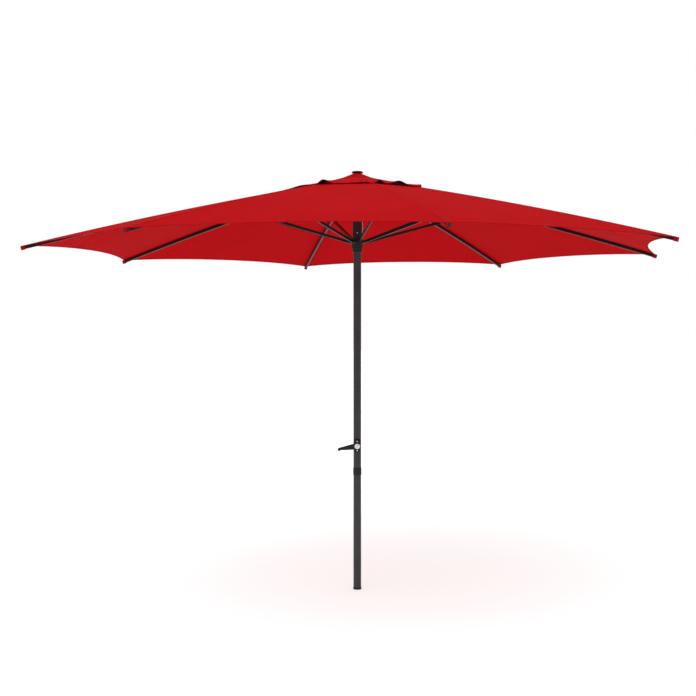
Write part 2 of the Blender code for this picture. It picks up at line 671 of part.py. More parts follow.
def crank():
    axis = joint_empty("crank_axis", (0, 0, 0))
    axis.matrix_local = crank_frame()
    drum_bore = SPINDLE_RADIUS + GAP
    tail = -DRUM_HALF_LENGTH - SPINDLE_TAIL
    turned("crank_spindle", [
        (0, ARM_FRONT), (SPINDLE_RADIUS - SPINDLE_CHAMFER, ARM_FRONT),
        (SPINDLE_RADIUS, ARM_FRONT - SPINDLE_CHAMFER), (SPINDLE_RADIUS, tail), (0, tail),
    ], BRIGHT_STEEL, segments=24, parent=axis)
    half = DRUM_HALF_LENGTH
    flange, root = half - DRUM_FLANGE_WIDTH, half - DRUM_FLANGE_ROOT
    turned("cord_drum", [
        (drum_bore, half), (DRUM_FLANGE, half), (DRUM_FLANGE, flange), (DRUM_RADIUS, root),
        (DRUM_RADIUS, -root), (DRUM_FLANGE, -flange), (DRUM_FLANGE, -half), (drum_bore, -half),
    ], BLACK_PLASTIC, segments=20, parent=axis)

    # The arm's outline: two round ends of unlike size and the lines that touch both.
    lean = math.degrees(math.asin((ARM_HUB_RADIUS - ARM_END_RADIUS) / ARM_REACH))
    outline = arc((0, 0), ARM_HUB_RADIUS, 90 - lean, 270 + lean, 14)
    outline += arc((ARM_REACH, 0), ARM_END_RADIUS, -90 + lean, 90 - lean, 7)
    droop = Matrix.Rotation(math.pi + CRANK_DROOP, 4, "Z")
    place = droop @ Matrix.Translation((0, 0, (ARM_BACK + ARM_FRONT) / 2))
    arm = plate("crank_arm", outline, ARM_THICKNESS, BLACK_PLASTIC, axis, place)
    rounded(arm, ARM_ROUND)
    bore = rod_mesh("arm_bore", SPINDLE_RADIUS + GAP, (0, 0, 0), (0, 0, 0.1))
    boolean(arm, cutter("arm_bore", bore, axis))
    pin_hole = rod_mesh("knob_hole", PIN_RADIUS + RUNNING_GAP, (ARM_REACH, 0, 0), (ARM_REACH, 0, 0.1), 20)
    boolean(arm, cutter("knob_hole", pin_hole, axis, droop))

    cap_back = ARM_FRONT + GAP
    turned("crank_hub_cap", [
        (0, cap_back + CAP_HEIGHT), (0.35 * CAP_RADIUS, cap_back + CAP_HEIGHT),
        (0.42 * CAP_RADIUS, cap_back + 0.7 * CAP_HEIGHT), (0.75 * CAP_RADIUS, cap_back + 0.75 * CAP_HEIGHT),
        (CAP_RADIUS, cap_back + 0.3 * CAP_HEIGHT), (CAP_RADIUS, cap_back), (0, cap_back),
    ], BRIGHT_STEEL, segments=24, parent=axis)

    knob_axis = joint_empty("knob_axis", (0, 0, 0), parent=axis)
    knob_axis.matrix_local = droop @ Matrix.Translation((ARM_REACH, 0, 0))
    base = ARM_FRONT + RUNNING_GAP
    end = base + KNOB_LENGTH
    crown = arc((KNOB_RADIUS - KNOB_CROWN, end - KNOB_CROWN), KNOB_CROWN, 90, 0, 4)
    waist, foot = (KNOB_RADIUS - inset for inset in KNOB_TAPER)
    pin_end = ARM_BACK + KNOB_PIN_INSET
    turned("crank_knob", [
        (0, end), *crown, (waist, base + KNOB_WAIST), (foot, base),
        (PIN_RADIUS, base), (PIN_RADIUS, pin_end), (0, pin_end),
    ], BLACK_PLASTIC, segments=16, parent=knob_axis)


# ---- Ribs, tips, brackets and struts: each is made once, and its eight copies share the mesh

def rib_mesh():
    """A bent rectangular tube, open at both ends and drilled across for the hub's ring wire."""
    half_width, half_depth = RIB_WIDTH / 2, RIB_DEPTH / 2
    section = bpy.data.curves.new("rib_section", "CURVE")
    section.dimensions = "2D"
    section.fill_mode = "NONE"
    ring = [
        (half_width, half_depth), (-half_width, half_depth),
        (-half_width, -half_depth), (half_width, -half_depth),
    ]
    spline = section.splines.new("POLY")
    spline.points.add(len(ring) - 1)
    for point, (x, y) in zip(spline.points, ring):
        point.co = (x, y, 0, 1)
    spline.use_cyclic_u = True
    outline = bpy.data.objects.new("rib_section", section)
    cutters.objects.link(outline)
    outline.hide_render = True

    curve = bpy.data.curves.new("rib", "CURVE")
    curve.dimensions = "3D"
    curve.twist_mode = "Z_UP"
    curve.bevel_mode = "OBJECT"
    curve.bevel_object = outline
    spline = curve.splines.new("POLY")
    # The tube is straight where the bracket grips it and inside its tip.
    grip = 1.5 * BRACKET_HALF_LENGTH
    stations = [
        *np.linspace(PIVOT_RADIUS - RIB_INSET, BRACKET_STATION - grip, RIB_STEPS + 1),
        *np.linspace(BRACKET_STATION + grip, TIP_RADIUS - 1.5 * TIP_LENGTH, RIB_STEPS + 1),
        TIP_RADIUS - TIP_WALL - GAP,
    ]
    spline.points.add(len(stations) - 1)
    for point, radius in zip(spline.points, stations):
        point.co = (radius - PIVOT_RADIUS, 0, rib_height(radius) - HUB_PIVOT_HEIGHT, 1)
    tube = as_mesh("rib", curve, COATED_STEEL)
    wall = tube.modifiers.new("wall", "SOLIDIFY")
    wall.thickness = RIB_WALL
    wall.offset = -1
    hole = rod_mesh(
        "rib_wire_hole", WIRE_RADIUS + WIRE_HOLE_CLEARANCE, (0, -RIB_WIDTH, 0), (0, RIB_WIDTH, 0), 12
    )
    boolean(tube, cutter("rib_wire_hole", hole))
    mesh = baked(tube, "rib")
    return mesh


def rib_tip_mesh():
    """Cap over the rib's end, in a frame whose X leaves the rib and whose origin is its far face."""
    half_width = RIB_WIDTH / 2 + GAP + TIP_WALL
    half_depth = RIB_DEPTH / 2 + GAP + TIP_WALL
    cap = add("rib_tip", box_mesh(
        "rib_tip", (-TIP_LENGTH, -half_width, -half_depth), (0, half_width, half_depth)
    ), BLACK_PLASTIC)
    rounded(cap, TIP_CHAMFER, segments=1)
    socket = box_mesh(
        "tip_socket", (-2 * TIP_LENGTH, -half_width + TIP_WALL, -half_depth + TIP_WALL),
        (-TIP_WALL, half_width - TIP_WALL, half_depth - TIP_WALL),
    )
    boolean(cap, cutter("tip_socket", socket))
    return baked(cap, "rib_tip")


def bracket_mesh():
    """Saddle under the rib with two ears and the pin that carries the strut. Origin on the pin."""
    half = RIB_WIDTH / 2 + GAP + BRACKET_WALL
    rib_bottom = BRACKET_DROP - RIB_DEPTH / 2 - GAP
    long = BRACKET_HALF_LENGTH
    eye = STRUT_EYE_RADIUS + EYE_RIM
    lap, ear = rib_bottom + BRACKET_LAP, rib_bottom - BRACKET_EAR
    outline = [(long, lap), (-long, lap), (-long, ear), *arc((0, 0), eye, 200, 340, 6), (long, ear)]
    upright = Matrix.Rotation(math.pi / 2, 4, "X")
    saddle = plate("rib_bracket", outline, 2 * half, COATED_STEEL, matrix=upright)
    inner = half - BRACKET_WALL
    channel = box_mesh(
        "bracket_channel", (-2 * long, -inner, rib_bottom), (2 * long, inner, 2 * BRACKET_DROP)
    )
    boolean(saddle, cutter("bracket_channel", channel))
    throat = box_mesh(
        "bracket_throat", (-2 * long, -inner, -2 * eye), (2 * long, inner, rib_bottom - BRACKET_WALL)
    )
    boolean(saddle, cutter("bracket_throat", throat))
    pin_half = half + PIN_HEAD
    pin = rod_mesh("bracket_pin", PIN_RADIUS, (0, -pin_half, 0), (0, pin_half, 0), 10)
    boolean(saddle, cutter("bracket_pin", pin), "UNION")
    return baked(saddle, "rib_bracket")


def strut_mesh():
    """Hollow bar with rounded ends along -X from the bracket's pin, with stub pins at the runner."""
    eye, half = STRUT_EYE_RADIUS, STRUT_DEPTH / 2
    length, neck = STRUT_LENGTH, STRUT_NECK
    outline = arc((0, 0), eye, -80, 80, 6) + [(-neck, half), (-length + neck, half)]
    outline += arc((-length, 0), eye, 100, 260, 6) + [(-length + neck, -half), (-neck, -half)]
    upright = Matrix.Rotation(math.pi / 2, 4, "X")
    bar = plate("strut", outline, STRUT_WIDTH, COATED_STEEL, matrix=upright)
    inner = STRUT_WIDTH / 2 - STRUT_WALL
    cavity = box_mesh(
        "strut_cavity", (-length + neck, -inner, -half + STRUT_WALL),
        (-neck, inner, half - STRUT_WALL),
    )
    boolean(bar, cutter("strut_cavity", cavity))
    drain = box_mesh(
        "strut_drain", (-length + neck + DRAIN_SLOT[0], -DRAIN_WIDTH / 2, -2 * half),
        (-length + neck + DRAIN_SLOT[1], DRAIN_WIDTH / 2, 0),
    )
    boolean(bar, cutter("strut_drain", drain))
    hole = rod_mesh(
        "strut_eye", PIN_RADIUS + GAP, (0, -STRUT_WIDTH, 0), (0, STRUT_WIDTH, 0), 12
    )
    boolean(bar, cutter("strut_eye", hole))
    stub = rod_mesh(
        "strut_stub", PIN_RADIUS, (-length, -STUB_PIN_WIDTH / 2, 0), (-length, STUB_PIN_WIDTH / 2, 0), 10
    )
    boolean(bar, cutter("strut_stub", stub), "UNION")
    return baked(bar, "strut")


# ---- Canopy: each gore is centred on its rib and reaches to the middle of both panels beside it

def panel_distance(radius, angle):
    """Distance along the middle of a panel, for a point at an angle from the nearest rib."""
    return radius * math.cos(HALF_SECTOR - abs(angle))


def canopy_underside(radius, angle):
    """A panel is straight across from rib to rib, so its height is that of the ribs beside it."""
    along_rib = panel_distance(radius, angle) / math.cos(HALF_SECTOR)
    return rib_height(along_rib) + RIB_DEPTH / 2 + FABRIC_LIFT


def hem_radius(angle, corner, sagitta):
    """Where a ray at an angle from the rib meets the hem, a parabola between two corners."""
    slope = math.tan(HALF_SECTOR - abs(angle))
    reach, half_span = corner * math.cos(HALF_SECTOR), corner * math.sin(HALF_SECTOR)
    curve = sagitta * slope * slope / half_span ** 2
    if curve < 1e-9:
        distance = reach - sagitta
    else:
        distance = (1 - math.sqrt(1 - 4 * curve * (reach - sagitta))) / (2 * curve)
    return distance / math.cos(HALF_SECTOR - abs(angle))


def cloth(name, columns, rows, surface, finish, matrix=None, parent=None):
    """A grid bent to surface(across, along), both 0 to 1, and thickened upwards."""
    def build(work):
        bmesh.ops.create_grid(work, x_segments=columns, y_segments=rows, size=0.5)
        for vert in work.verts:
            vert.co = surface(vert.co.x + 0.5, vert.co.y + 0.5)
        bmesh.ops.remove_doubles(work, verts=work.verts, dist=1e-6)
    mesh = mesh_from(build, name)
    if mesh.polygons[0].normal.z < 0:
        mesh.flip_normals()
    obj = add(name, mesh, finish, parent, matrix)
    layer = obj.modifiers.new("thickness", "SOLIDIFY")
    layer.thickness = FABRIC
    layer.offset = 1
    return obj


def gore_point(across, along):
    angle = (2 * across - 1) * HALF_SECTOR
    hem = hem_radius(angle, CORNER_RADIUS, HEM_SAGITTA)
    radius = VENT_HOLE_RADIUS + along * (hem - VENT_HOLE_RADIUS)
    trimmed = angle * (1 - (GAP / 2) / radius / HALF_SECTOR)
    height = canopy_underside(radius, trimmed) - HUB_PIVOT_HEIGHT
    return Vector((radius * math.cos(trimmed) - PIVOT_RADIUS, radius * math.sin(trimmed), height))


def vent_point(across, along):
    """The vent cap all round: a shallow cone, steeper at its neck, its hem bowed up between ribs."""
    turn = across * 2 * math.pi
    angle = (turn + HALF_SECTOR) % SECTOR - HALF_SECTOR
    inner = NECK_RADIUS + GAP
    outer = hem_radius(angle, VENT_RADIUS, VENT_SAGITTA)
    radius = inner + along ** 1.5 * (outer - inner)
    along_rib = panel_distance(radius, angle) / math.cos(HALF_SECTOR)
    blend = min(radius / VENT_HOLE_RADIUS, 1.0)
    span = radius + blend * (along_rib - radius)
    corner = rib_height(VENT_RADIUS) + RIB_DEPTH / 2 + FABRIC_LIFT + FABRIC + VENT_LIFT
    neck = HUB_PIVOT_HEIGHT + NECK_TOP - VENT_NECK_DROP
    slope = (neck - corner - VENT_PEAK * math.exp(-inner / VENT_PEAK_REACH)) / (VENT_RADIUS - inner)
    height = corner + slope * (VENT_RADIUS - span)
    height += VENT_PEAK * math.exp(-radius / VENT_PEAK_REACH)
    bow = VENT_BOW * (radius / VENT_RADIUS) ** 3 * (1 - (1 - abs(angle) / HALF_SECTOR) ** 2)
    return Vector((radius * math.cos(turn), radius * math.sin(turn), height + bow))


def ribs_and_canopy():
    rib, tip, bracket, strut = rib_mesh(), rib_tip_mesh(), bracket_mesh(), strut_mesh()
    to_pivot = Matrix.Translation(STRUT_PIVOT - Vector((PIVOT_RADIUS, 0, HUB_PIVOT_HEIGHT)))
    tip_place = Matrix.Translation((CHORD_RUN, 0, -CHORD_FALL)) @ \
        Matrix.Rotation(rib_fall(TIP_RADIUS), 4, "Y")
    for k in range(RIB_COUNT):
        number, angle = k + 1, k * SECTOR
        hinge = joint_empty(
            f"rib_axis_{number}", radial(angle, PIVOT_RADIUS, HUB_PIVOT_HEIGHT), angle
        )
        add(f"rib_{number}", rib, COATED_STEEL, hinge)
        add(f"rib_tip_{number}", tip, BLACK_PLASTIC, hinge, tip_place)
        add(f"rib_bracket_{number}", bracket, COATED_STEEL, hinge,
            to_pivot @ Matrix.Rotation(BRACKET_TILT, 4, "Y"))
        elbow = joint_empty(f"strut_axis_{number}", (0, 0, 0), parent=hinge)
        elbow.matrix_local = to_pivot
        add(f"strut_{number}", strut, COATED_STEEL, elbow, Matrix.Rotation(-STRUT_FALL, 4, "Y"))
        cloth(f"canopy_gore_{number}", 6, 6, gore_point, CANOPY_RED, parent=hinge)
    cloth("vent_cap", 4 * RIB_COUNT, 3, vent_point, CANOPY_RED)


lower_mast()
mast_collar()
upper_mast()
top_hub()
finial()
pulley()
lift_cord()
runner()
crank_housing()
crank()
ribs_and_canopy()
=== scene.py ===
"""Looks of a crank-operated garden parasol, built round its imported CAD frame.

Metres, +Z up, with the mast on the Z axis. Rib 1 points along +X, and the others follow every
45 degrees, anticlockwise seen from above.
"""

import functools
import math

import bmesh
import bpy
import numpy as np
from mathutils import Matrix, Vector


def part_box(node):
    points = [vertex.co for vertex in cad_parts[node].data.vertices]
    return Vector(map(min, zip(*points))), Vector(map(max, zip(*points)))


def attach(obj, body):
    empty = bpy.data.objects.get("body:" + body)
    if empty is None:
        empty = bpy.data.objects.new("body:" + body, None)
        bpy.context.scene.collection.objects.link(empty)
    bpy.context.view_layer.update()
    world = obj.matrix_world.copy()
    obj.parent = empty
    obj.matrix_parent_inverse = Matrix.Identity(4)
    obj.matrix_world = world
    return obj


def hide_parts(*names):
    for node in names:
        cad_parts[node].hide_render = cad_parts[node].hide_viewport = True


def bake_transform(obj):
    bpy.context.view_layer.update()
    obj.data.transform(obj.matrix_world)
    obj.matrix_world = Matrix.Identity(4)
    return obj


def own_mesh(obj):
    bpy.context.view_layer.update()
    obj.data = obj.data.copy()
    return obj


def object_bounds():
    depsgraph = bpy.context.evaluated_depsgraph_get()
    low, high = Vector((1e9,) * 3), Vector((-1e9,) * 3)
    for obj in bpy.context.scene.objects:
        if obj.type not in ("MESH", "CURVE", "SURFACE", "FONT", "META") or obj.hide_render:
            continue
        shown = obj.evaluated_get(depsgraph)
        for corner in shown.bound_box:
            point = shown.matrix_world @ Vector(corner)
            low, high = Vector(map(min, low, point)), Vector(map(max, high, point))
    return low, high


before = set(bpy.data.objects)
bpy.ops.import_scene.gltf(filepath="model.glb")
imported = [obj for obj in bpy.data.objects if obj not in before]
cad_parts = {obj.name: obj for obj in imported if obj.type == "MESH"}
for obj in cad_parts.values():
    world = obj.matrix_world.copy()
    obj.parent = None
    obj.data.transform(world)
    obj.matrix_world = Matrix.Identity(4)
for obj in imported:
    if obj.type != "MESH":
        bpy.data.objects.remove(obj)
cad_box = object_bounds()


# ---- Floor, light and camera
# A pale, softly lit floor runs out of sight under a white sky that is brightest overhead, as in
# a bright studio, with one large soft lamp high on the left for the panels that face it.

def linear(hex_colour):
    """An sRGB hex colour as linear red, green, blue and 1."""
    parts = [int(hex_colour[i:i + 2], 16) / 255 for i in (0, 2, 4)]
    return (*(p / 12.92 if p <= 0.04045 else ((p + 0.055) / 1.055) ** 2.4 for p in parts), 1.0)


def node(tree, kind, inputs=None, **settings):
    """Add one node; inputs maps a socket's name or number to a value or to another node's output."""
    made = tree.nodes.new(kind)
    for key, value in settings.items():
        setattr(made, key, value)
    for key, value in (inputs or {}).items():
        if isinstance(value, bpy.types.NodeSocket):
            tree.links.new(value, made.inputs[key])
        else:
            made.inputs[key].default_value = value
    return made


FLOOR_RADIUS = 60.0
FLOOR_SIDES = 96
FLOOR_GLOW = 0.55

floor_angles = np.linspace(0, 2 * np.pi, FLOOR_SIDES, endpoint=False)
floor_rim = np.column_stack([
    FLOOR_RADIUS * np.cos(floor_angles), FLOOR_RADIUS * np.sin(floor_angles),
    np.full(FLOOR_SIDES, cad_box[0].z),
])
floor_mesh = bpy.data.meshes.new("floor")
floor_mesh.from_pydata(floor_rim.tolist(), [], [list(range(FLOOR_SIDES))])
floor = bpy.data.objects.new("floor", floor_mesh)
bpy.context.scene.collection.objects.link(floor)
floor_paint = bpy.data.materials.new("matt_floor_paint")
floor_paint.use_nodes = True
floor_shader = floor_paint.node_tree.nodes["Principled BSDF"]
floor_shader.inputs["Base Color"].default_value = linear("c4c4c4")
floor_shader.inputs["Emission Color"].default_value = linear("ffffff")
floor_shader.inputs["Emission Strength"].default_value = FLOOR_GLOW
floor_shader.inputs["Roughness"].default_value = 0.9
floor_mesh.materials.append(floor_paint)

SKY_LOW, SKY_HIGH = 0.32, 1.06    # light from the horizon and from overhead

sky = bpy.data.worlds.new("studio_sky")
sky.use_nodes = True
sky_tree = sky.node_tree
sky_place = node(sky_tree, "ShaderNodeTexCoord").outputs["Generated"]
sky_way = node(sky_tree, "ShaderNodeSeparateXYZ", {0: sky_place})
sky_light = node(sky_tree, "ShaderNodeMapRange", {
    "Value": sky_way.outputs[2], "From Min": 0.0, "From Max": 0.7, "To Min": SKY_LOW, "To Max": SKY_HIGH,
}, interpolation_type="SMOOTHSTEP")
sky_seen = node(sky_tree, "ShaderNodeLightPath").outputs["Is Camera Ray"]
sky_strength = node(sky_tree, "ShaderNodeMix", {0: sky_seen, 2: sky_light.outputs[0], 3: 1.0})
sky_tree.links.new(sky_strength.outputs[0], sky_tree.nodes["Background"].inputs["Strength"])
sky_tree.nodes["Background"].inputs["Color"].default_value = linear("ffffff")
bpy.context.scene.world = sky
bpy.context.scene.view_settings.view_transform = "Standard"

KEY_STRENGTH = 1.15
KEY_SPREAD = math.radians(50)
KEY_TURN = (math.radians(38), 0, math.radians(-42))

key_light = bpy.data.lights.new("key_light", "SUN")
key_light.energy = KEY_STRENGTH
key_light.angle = KEY_SPREAD
key_lamp = bpy.data.objects.new("key_light", key_light)
key_lamp.rotation_euler = KEY_TURN
bpy.context.scene.collection.objects.link(key_lamp)

CAMERA_LENS = 58.37
CAMERA_PLACE = (-1.426, -6.827, 1.643)
CAMERA_AZIMUTH = math.radians(-11.8)
CAMERA_SHIFT = (-0.0134, -0.0358)

camera = bpy.data.objects.new("camera", bpy.data.cameras.new("camera"))
camera.data.lens = CAMERA_LENS
camera.data.clip_end = 200
camera.data.shift_x, camera.data.shift_y = CAMERA_SHIFT
camera.location = CAMERA_PLACE
camera.rotation_euler = (math.radians(90), 0, CAMERA_AZIMUTH)
bpy.context.scene.collection.objects.link(camera)
bpy.context.scene.camera = camera


# ---- Lift cord
# A braided polyester cord, 3 mm thick, that the crank winds up. It rises inside the mast, passes
# over a pulley at the top and comes out through a slot, down to the top of the runner.

CORD_RADIUS = 0.0015
CORD_SIDES = 14
CORD_ANGLE = math.radians(-22.5)
CORD_INNER = -0.008        # the runs inside and outside the mast, from its axis
CORD_OUTER = 0.033
CORD_LEAD = 0.080          # the inner run ends its lean this far below the pulley
CRANK_ANGLE = math.radians(-101.8)
CRANK_HEIGHT = 0.8875
DRUM_SIDE = CRANK_ANGLE + math.pi / 2
DRUM_EDGE = 0.0113         # the cord's middle, from the mast's axis, where it leaves its drum
CORD_RISE = 0.030          # it rises straight up this far first
BRAID_PITCH = 0.009        # one turn of a strand round the cord, along it
BRAID_STRANDS = 8

PULLEY_RADIUS = (CORD_OUTER - CORD_INNER) / 2
PULLEY_HEIGHT = (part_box("cord_pulley")[0].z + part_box("cord_pulley")[1].z) / 2
RUNNER_SHOULDER = 2.1633   # where the cord is tied on
MERGED = 2e-6              # points closer than this are one


def skin(name, points, uv=None, around=False, along=False, closed=True, crease=35):
    """A mesh through a grid of points, points[row, column]. With around, the last column joins
    the first; with along, the last row joins the first. uv holds one more of those that join.
    Points that fall together are merged, and a closed skin is turned to face outwards."""
    rows, columns = points.shape[:2]
    index = np.arange(rows * columns).reshape(rows, columns)
    index = np.hstack([index, index[:, :1]]) if around else index
    index = np.vstack([index, index[:1]]) if along else index

    def corners(grid):
        four = (grid[:-1, :-1], grid[:-1, 1:], grid[1:, 1:], grid[1:, :-1])
        return np.stack(four, axis=2)

    mesh = bpy.data.meshes.new(name)
    mesh.from_pydata(points.reshape(-1, 3).tolist(), [], corners(index).reshape(-1, 4).tolist())
    if uv is not None:
        mesh.uv_layers.new(name="UVMap").data.foreach_set("uv", corners(uv).ravel())
    work = bmesh.new()
    work.from_mesh(mesh)
    bmesh.ops.remove_doubles(work, verts=work.verts, dist=MERGED)
    if closed:
        bmesh.ops.recalc_face_normals(work, faces=work.faces)
    work.to_mesh(mesh)
    work.free()
    mesh.shade_smooth()
    mesh.set_sharp_from_angle(angle=math.radians(crease))
    made = bpy.data.objects.new(name, mesh)
    bpy.context.scene.collection.objects.link(made)
    return made


def swept(name, section, path, up, scale=None):
    """A section of (side, up) points carried along a path, square to it: each point is the
    path's point, plus side times the level direction, plus rise times the one square to both.
    Its ends close to a point. UV is the way round the section and the way along, in metres."""
    along = np.gradient(path, axis=0)
    along /= np.linalg.norm(along, axis=1, keepdims=True)
    side = np.cross(np.broadcast_to(up, along.shape), along)
    side /= np.linalg.norm(side, axis=1, keepdims=True)
    rise = np.cross(along, side)
    sizes = np.ones((len(path), 2)) if scale is None else scale
    ring = section[None, :, :] * sizes[:, None, :]
    grid = path[:, None, :] + ring[..., :1] * side[:, None, :] + ring[..., 1:] * rise[:, None, :]
    ends = [np.broadcast_to(path[i], grid[0].shape)[None] for i in (0, -1)]
    grid = np.concatenate([ends[0], grid, ends[1]])
    girth = np.linalg.norm(np.diff(np.vstack([section, section[:1]]), axis=0), axis=1)
    girth = np.concatenate([[0], np.cumsum(girth)])
    length = np.concatenate([[0], np.cumsum(np.linalg.norm(np.diff(path, axis=0), axis=1))])
    length = np.concatenate([length[:1], length, length[-1:]])
    uv = np.stack(np.meshgrid(girth, length), axis=2)
    return skin(name, grid, uv, around=True)


def fitted(piece, body, slot, finish, *stands_for):
    """Give a piece its material and its body, and let it stand for its CAD nodes. slot is not used."""
    piece.data.materials.clear()
    piece.data.materials.append(finish)
    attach(piece, body)
    if stands_for:
        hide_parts(*stands_for)
    return piece


def radial(angle, distance, height):
    return np.array([distance * math.cos(angle), distance * math.sin(angle), height])


def braid():
    """Braided polyester: matt off-white strands crossing both ways round the cord, with painted shade in
    the grooves between them.
    """
    made = bpy.data.materials.new("braided_polyester")
    made.use_nodes = True
    tree = made.node_tree
    shader = tree.nodes["Principled BSDF"]
    place = node(tree, "ShaderNodeSeparateXYZ", {0: node(tree, "ShaderNodeUVMap").outputs[0]})
    turns = node(tree, "ShaderNodeMath", {0: place.outputs[0], 1: BRAID_STRANDS / (2 * CORD_RADIUS)},
                 operation="MULTIPLY")
    steps = node(tree, "ShaderNodeMath", {0: place.outputs[1], 1: math.pi * BRAID_STRANDS / BRAID_PITCH},
                 operation="MULTIPLY")
    waves = []
    for way in ("ADD", "SUBTRACT"):
        phase = node(tree, "ShaderNodeMath", {0: turns.outputs[0], 1: steps.outputs[0]}, operation=way)
        waves.append(node(tree, "ShaderNodeMath", {0: phase.outputs[0]}, operation="SINE"))
    weave = node(tree, "ShaderNodeMath", {0: waves[0].outputs[0], 1: waves[1].outputs[0]},
                 operation="MAXIMUM")
    # Grey where neither strand lies, in the grooves: painted shade.
    tone = node(tree, "ShaderNodeMix", {0: weave.outputs[0], 6: linear("8f8a86"), 7: linear("d8d4cf")},
                data_type="RGBA")
    relief = node(tree, "ShaderNodeBump", {"Height": weave.outputs[0], "Distance": 0.0003})
    tree.links.new(tone.outputs[2], shader.inputs["Base Color"])
    tree.links.new(relief.outputs[0], shader.inputs["Normal"])
    shader.inputs["Roughness"].default_value = 0.85
    return made


braided_polyester = braid()
cord_turn = np.linspace(0, 2 * np.pi, CORD_SIDES, endpoint=False)
cord_section = CORD_RADIUS * np.column_stack([np.cos(cord_turn), np.sin(cord_turn)])
over_pulley = np.radians(np.linspace(180, 0, 17))
pulley_middle = (CORD_OUTER + CORD_INNER) / 2
inner_route = np.array([
    radial(DRUM_SIDE, DRUM_EDGE, CRANK_HEIGHT),
    radial(DRUM_SIDE, DRUM_EDGE, CRANK_HEIGHT + CORD_RISE),
    radial(CORD_ANGLE, CORD_INNER, PULLEY_HEIGHT - CORD_LEAD),
    *[radial(CORD_ANGLE, pulley_middle + PULLEY_RADIUS * math.cos(a),
             PULLEY_HEIGHT + PULLEY_RADIUS * math.sin(a)) for a in over_pulley],
])
inner_cord = swept("lift_cord_inner", cord_section, inner_route, radial(CORD_ANGLE + math.pi / 2, 1, 0))
fitted(inner_cord, "upper_mast", "braided_cord", braided_polyester)

outer_top = radial(CORD_ANGLE, CORD_OUTER, PULLEY_HEIGHT)
outer_end = radial(CORD_ANGLE, CORD_OUTER, RUNNER_SHOULDER)
outer_route = np.linspace(outer_top, outer_end, 25)
outer_cord = swept("lift_cord_outer", cord_section, outer_route, np.array([1.0, 0, 0]))
outer_cord.data.materials.append(braided_polyester)
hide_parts("lift_cord")
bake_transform(outer_cord)


# ---- Mast
# Two steel tubes, 48 mm across, powder-coated anthracite. The lower one stands in a black
# plastic cap; a turned spigot and a moulded collar join the upper one to it.

MAST_STEPS = 72
RUB_LENGTH = 0.6           # faint upright marks where the runner's bore slides


def revolved(name, profile, steps=MAST_STEPS, place=None, closed=True, crease=35):
    """Points (radius, height) turned about Z: x = r cos t, y = r sin t. A closed profile joins
    its last point to its first. UV is the way round, at the widest radius, and along it."""
    profile = np.array(profile, float)
    turn = np.linspace(0, 2 * np.pi, steps, endpoint=False)
    radius, height = profile[:, :1], profile[:, 1:]
    grid = np.stack([
        radius * np.cos(turn), radius * np.sin(turn), np.broadcast_to(height, (len(profile), steps)),
    ], axis=2)
    looped = np.vstack([profile, profile[:1]]) if closed else profile
    reach = np.concatenate([[0], np.cumsum(np.linalg.norm(np.diff(looped, axis=0), axis=1))])
    around = np.linspace(0, 2 * np.pi * profile[:, 0].max(), steps + 1)
    uv = np.stack(np.meshgrid(around, reach), axis=2)
    if place is not None:
        turned, moved = np.array(place)[:3, :3], np.array(place)[:3, 3]
        grid = grid @ turned.T + moved
    return skin(name, grid, uv, around=True, along=closed, crease=crease)


def powder_coat(name, colour, darker, roughness, gleam, peel=0.0011):
    """Powder-coated steel: polyester baked on, which leaves a faint orange peel about a
    millimetre across and a satin gloss, with soft upright rub marks and a little dust."""
    made = bpy.data.materials.new(name)
    made.use_nodes = True
    tree = made.node_tree
    shader = tree.nodes["Principled BSDF"]
    place = node(tree, "ShaderNodeTexCoord").outputs["Object"]
    upright = node(tree, "ShaderNodeMapping", {"Vector": place, "Scale": (260, 260, 1 / RUB_LENGTH)})
    rub = node(tree, "ShaderNodeTexNoise", {"Vector": upright.outputs[0], "Scale": 1.0, "Detail": 3.0})
    dust = node(tree, "ShaderNodeTexNoise", {"Vector": place, "Scale": 9.0, "Detail": 4.0})
    wear = node(tree, "ShaderNodeMath", {0: rub.outputs[0], 1: dust.outputs[0]}, operation="MULTIPLY")
    spread = node(tree, "ShaderNodeMapRange", {
        "Value": wear.outputs[0], "From Min": 0.12, "From Max": 0.42,
    })
    tone = node(tree, "ShaderNodeMix", {0: spread.outputs[0], 6: linear(darker), 7: linear(colour)},
                data_type="RGBA")
    gloss = node(tree, "ShaderNodeMapRange", {
        "Value": rub.outputs[0], "From Min": 0.3, "From Max": 0.7,
        "To Min": roughness - 0.06, "To Max": roughness + 0.08,
    })
    grain = node(tree, "ShaderNodeTexNoise", {"Vector": place, "Scale": 1 / peel, "Detail": 1.5})
    relief = node(tree, "ShaderNodeBump", {
        "Height": grain.outputs[0], "Strength": 0.15, "Distance": 0.0001,
    })
    tree.links.new(tone.outputs[2], shader.inputs["Base Color"])
    tree.links.new(gloss.outputs[0], shader.inputs["Roughness"])
    tree.links.new(relief.outputs[0], shader.inputs["Normal"])
    shader.inputs["Specular IOR Level"].default_value = gleam
    return made


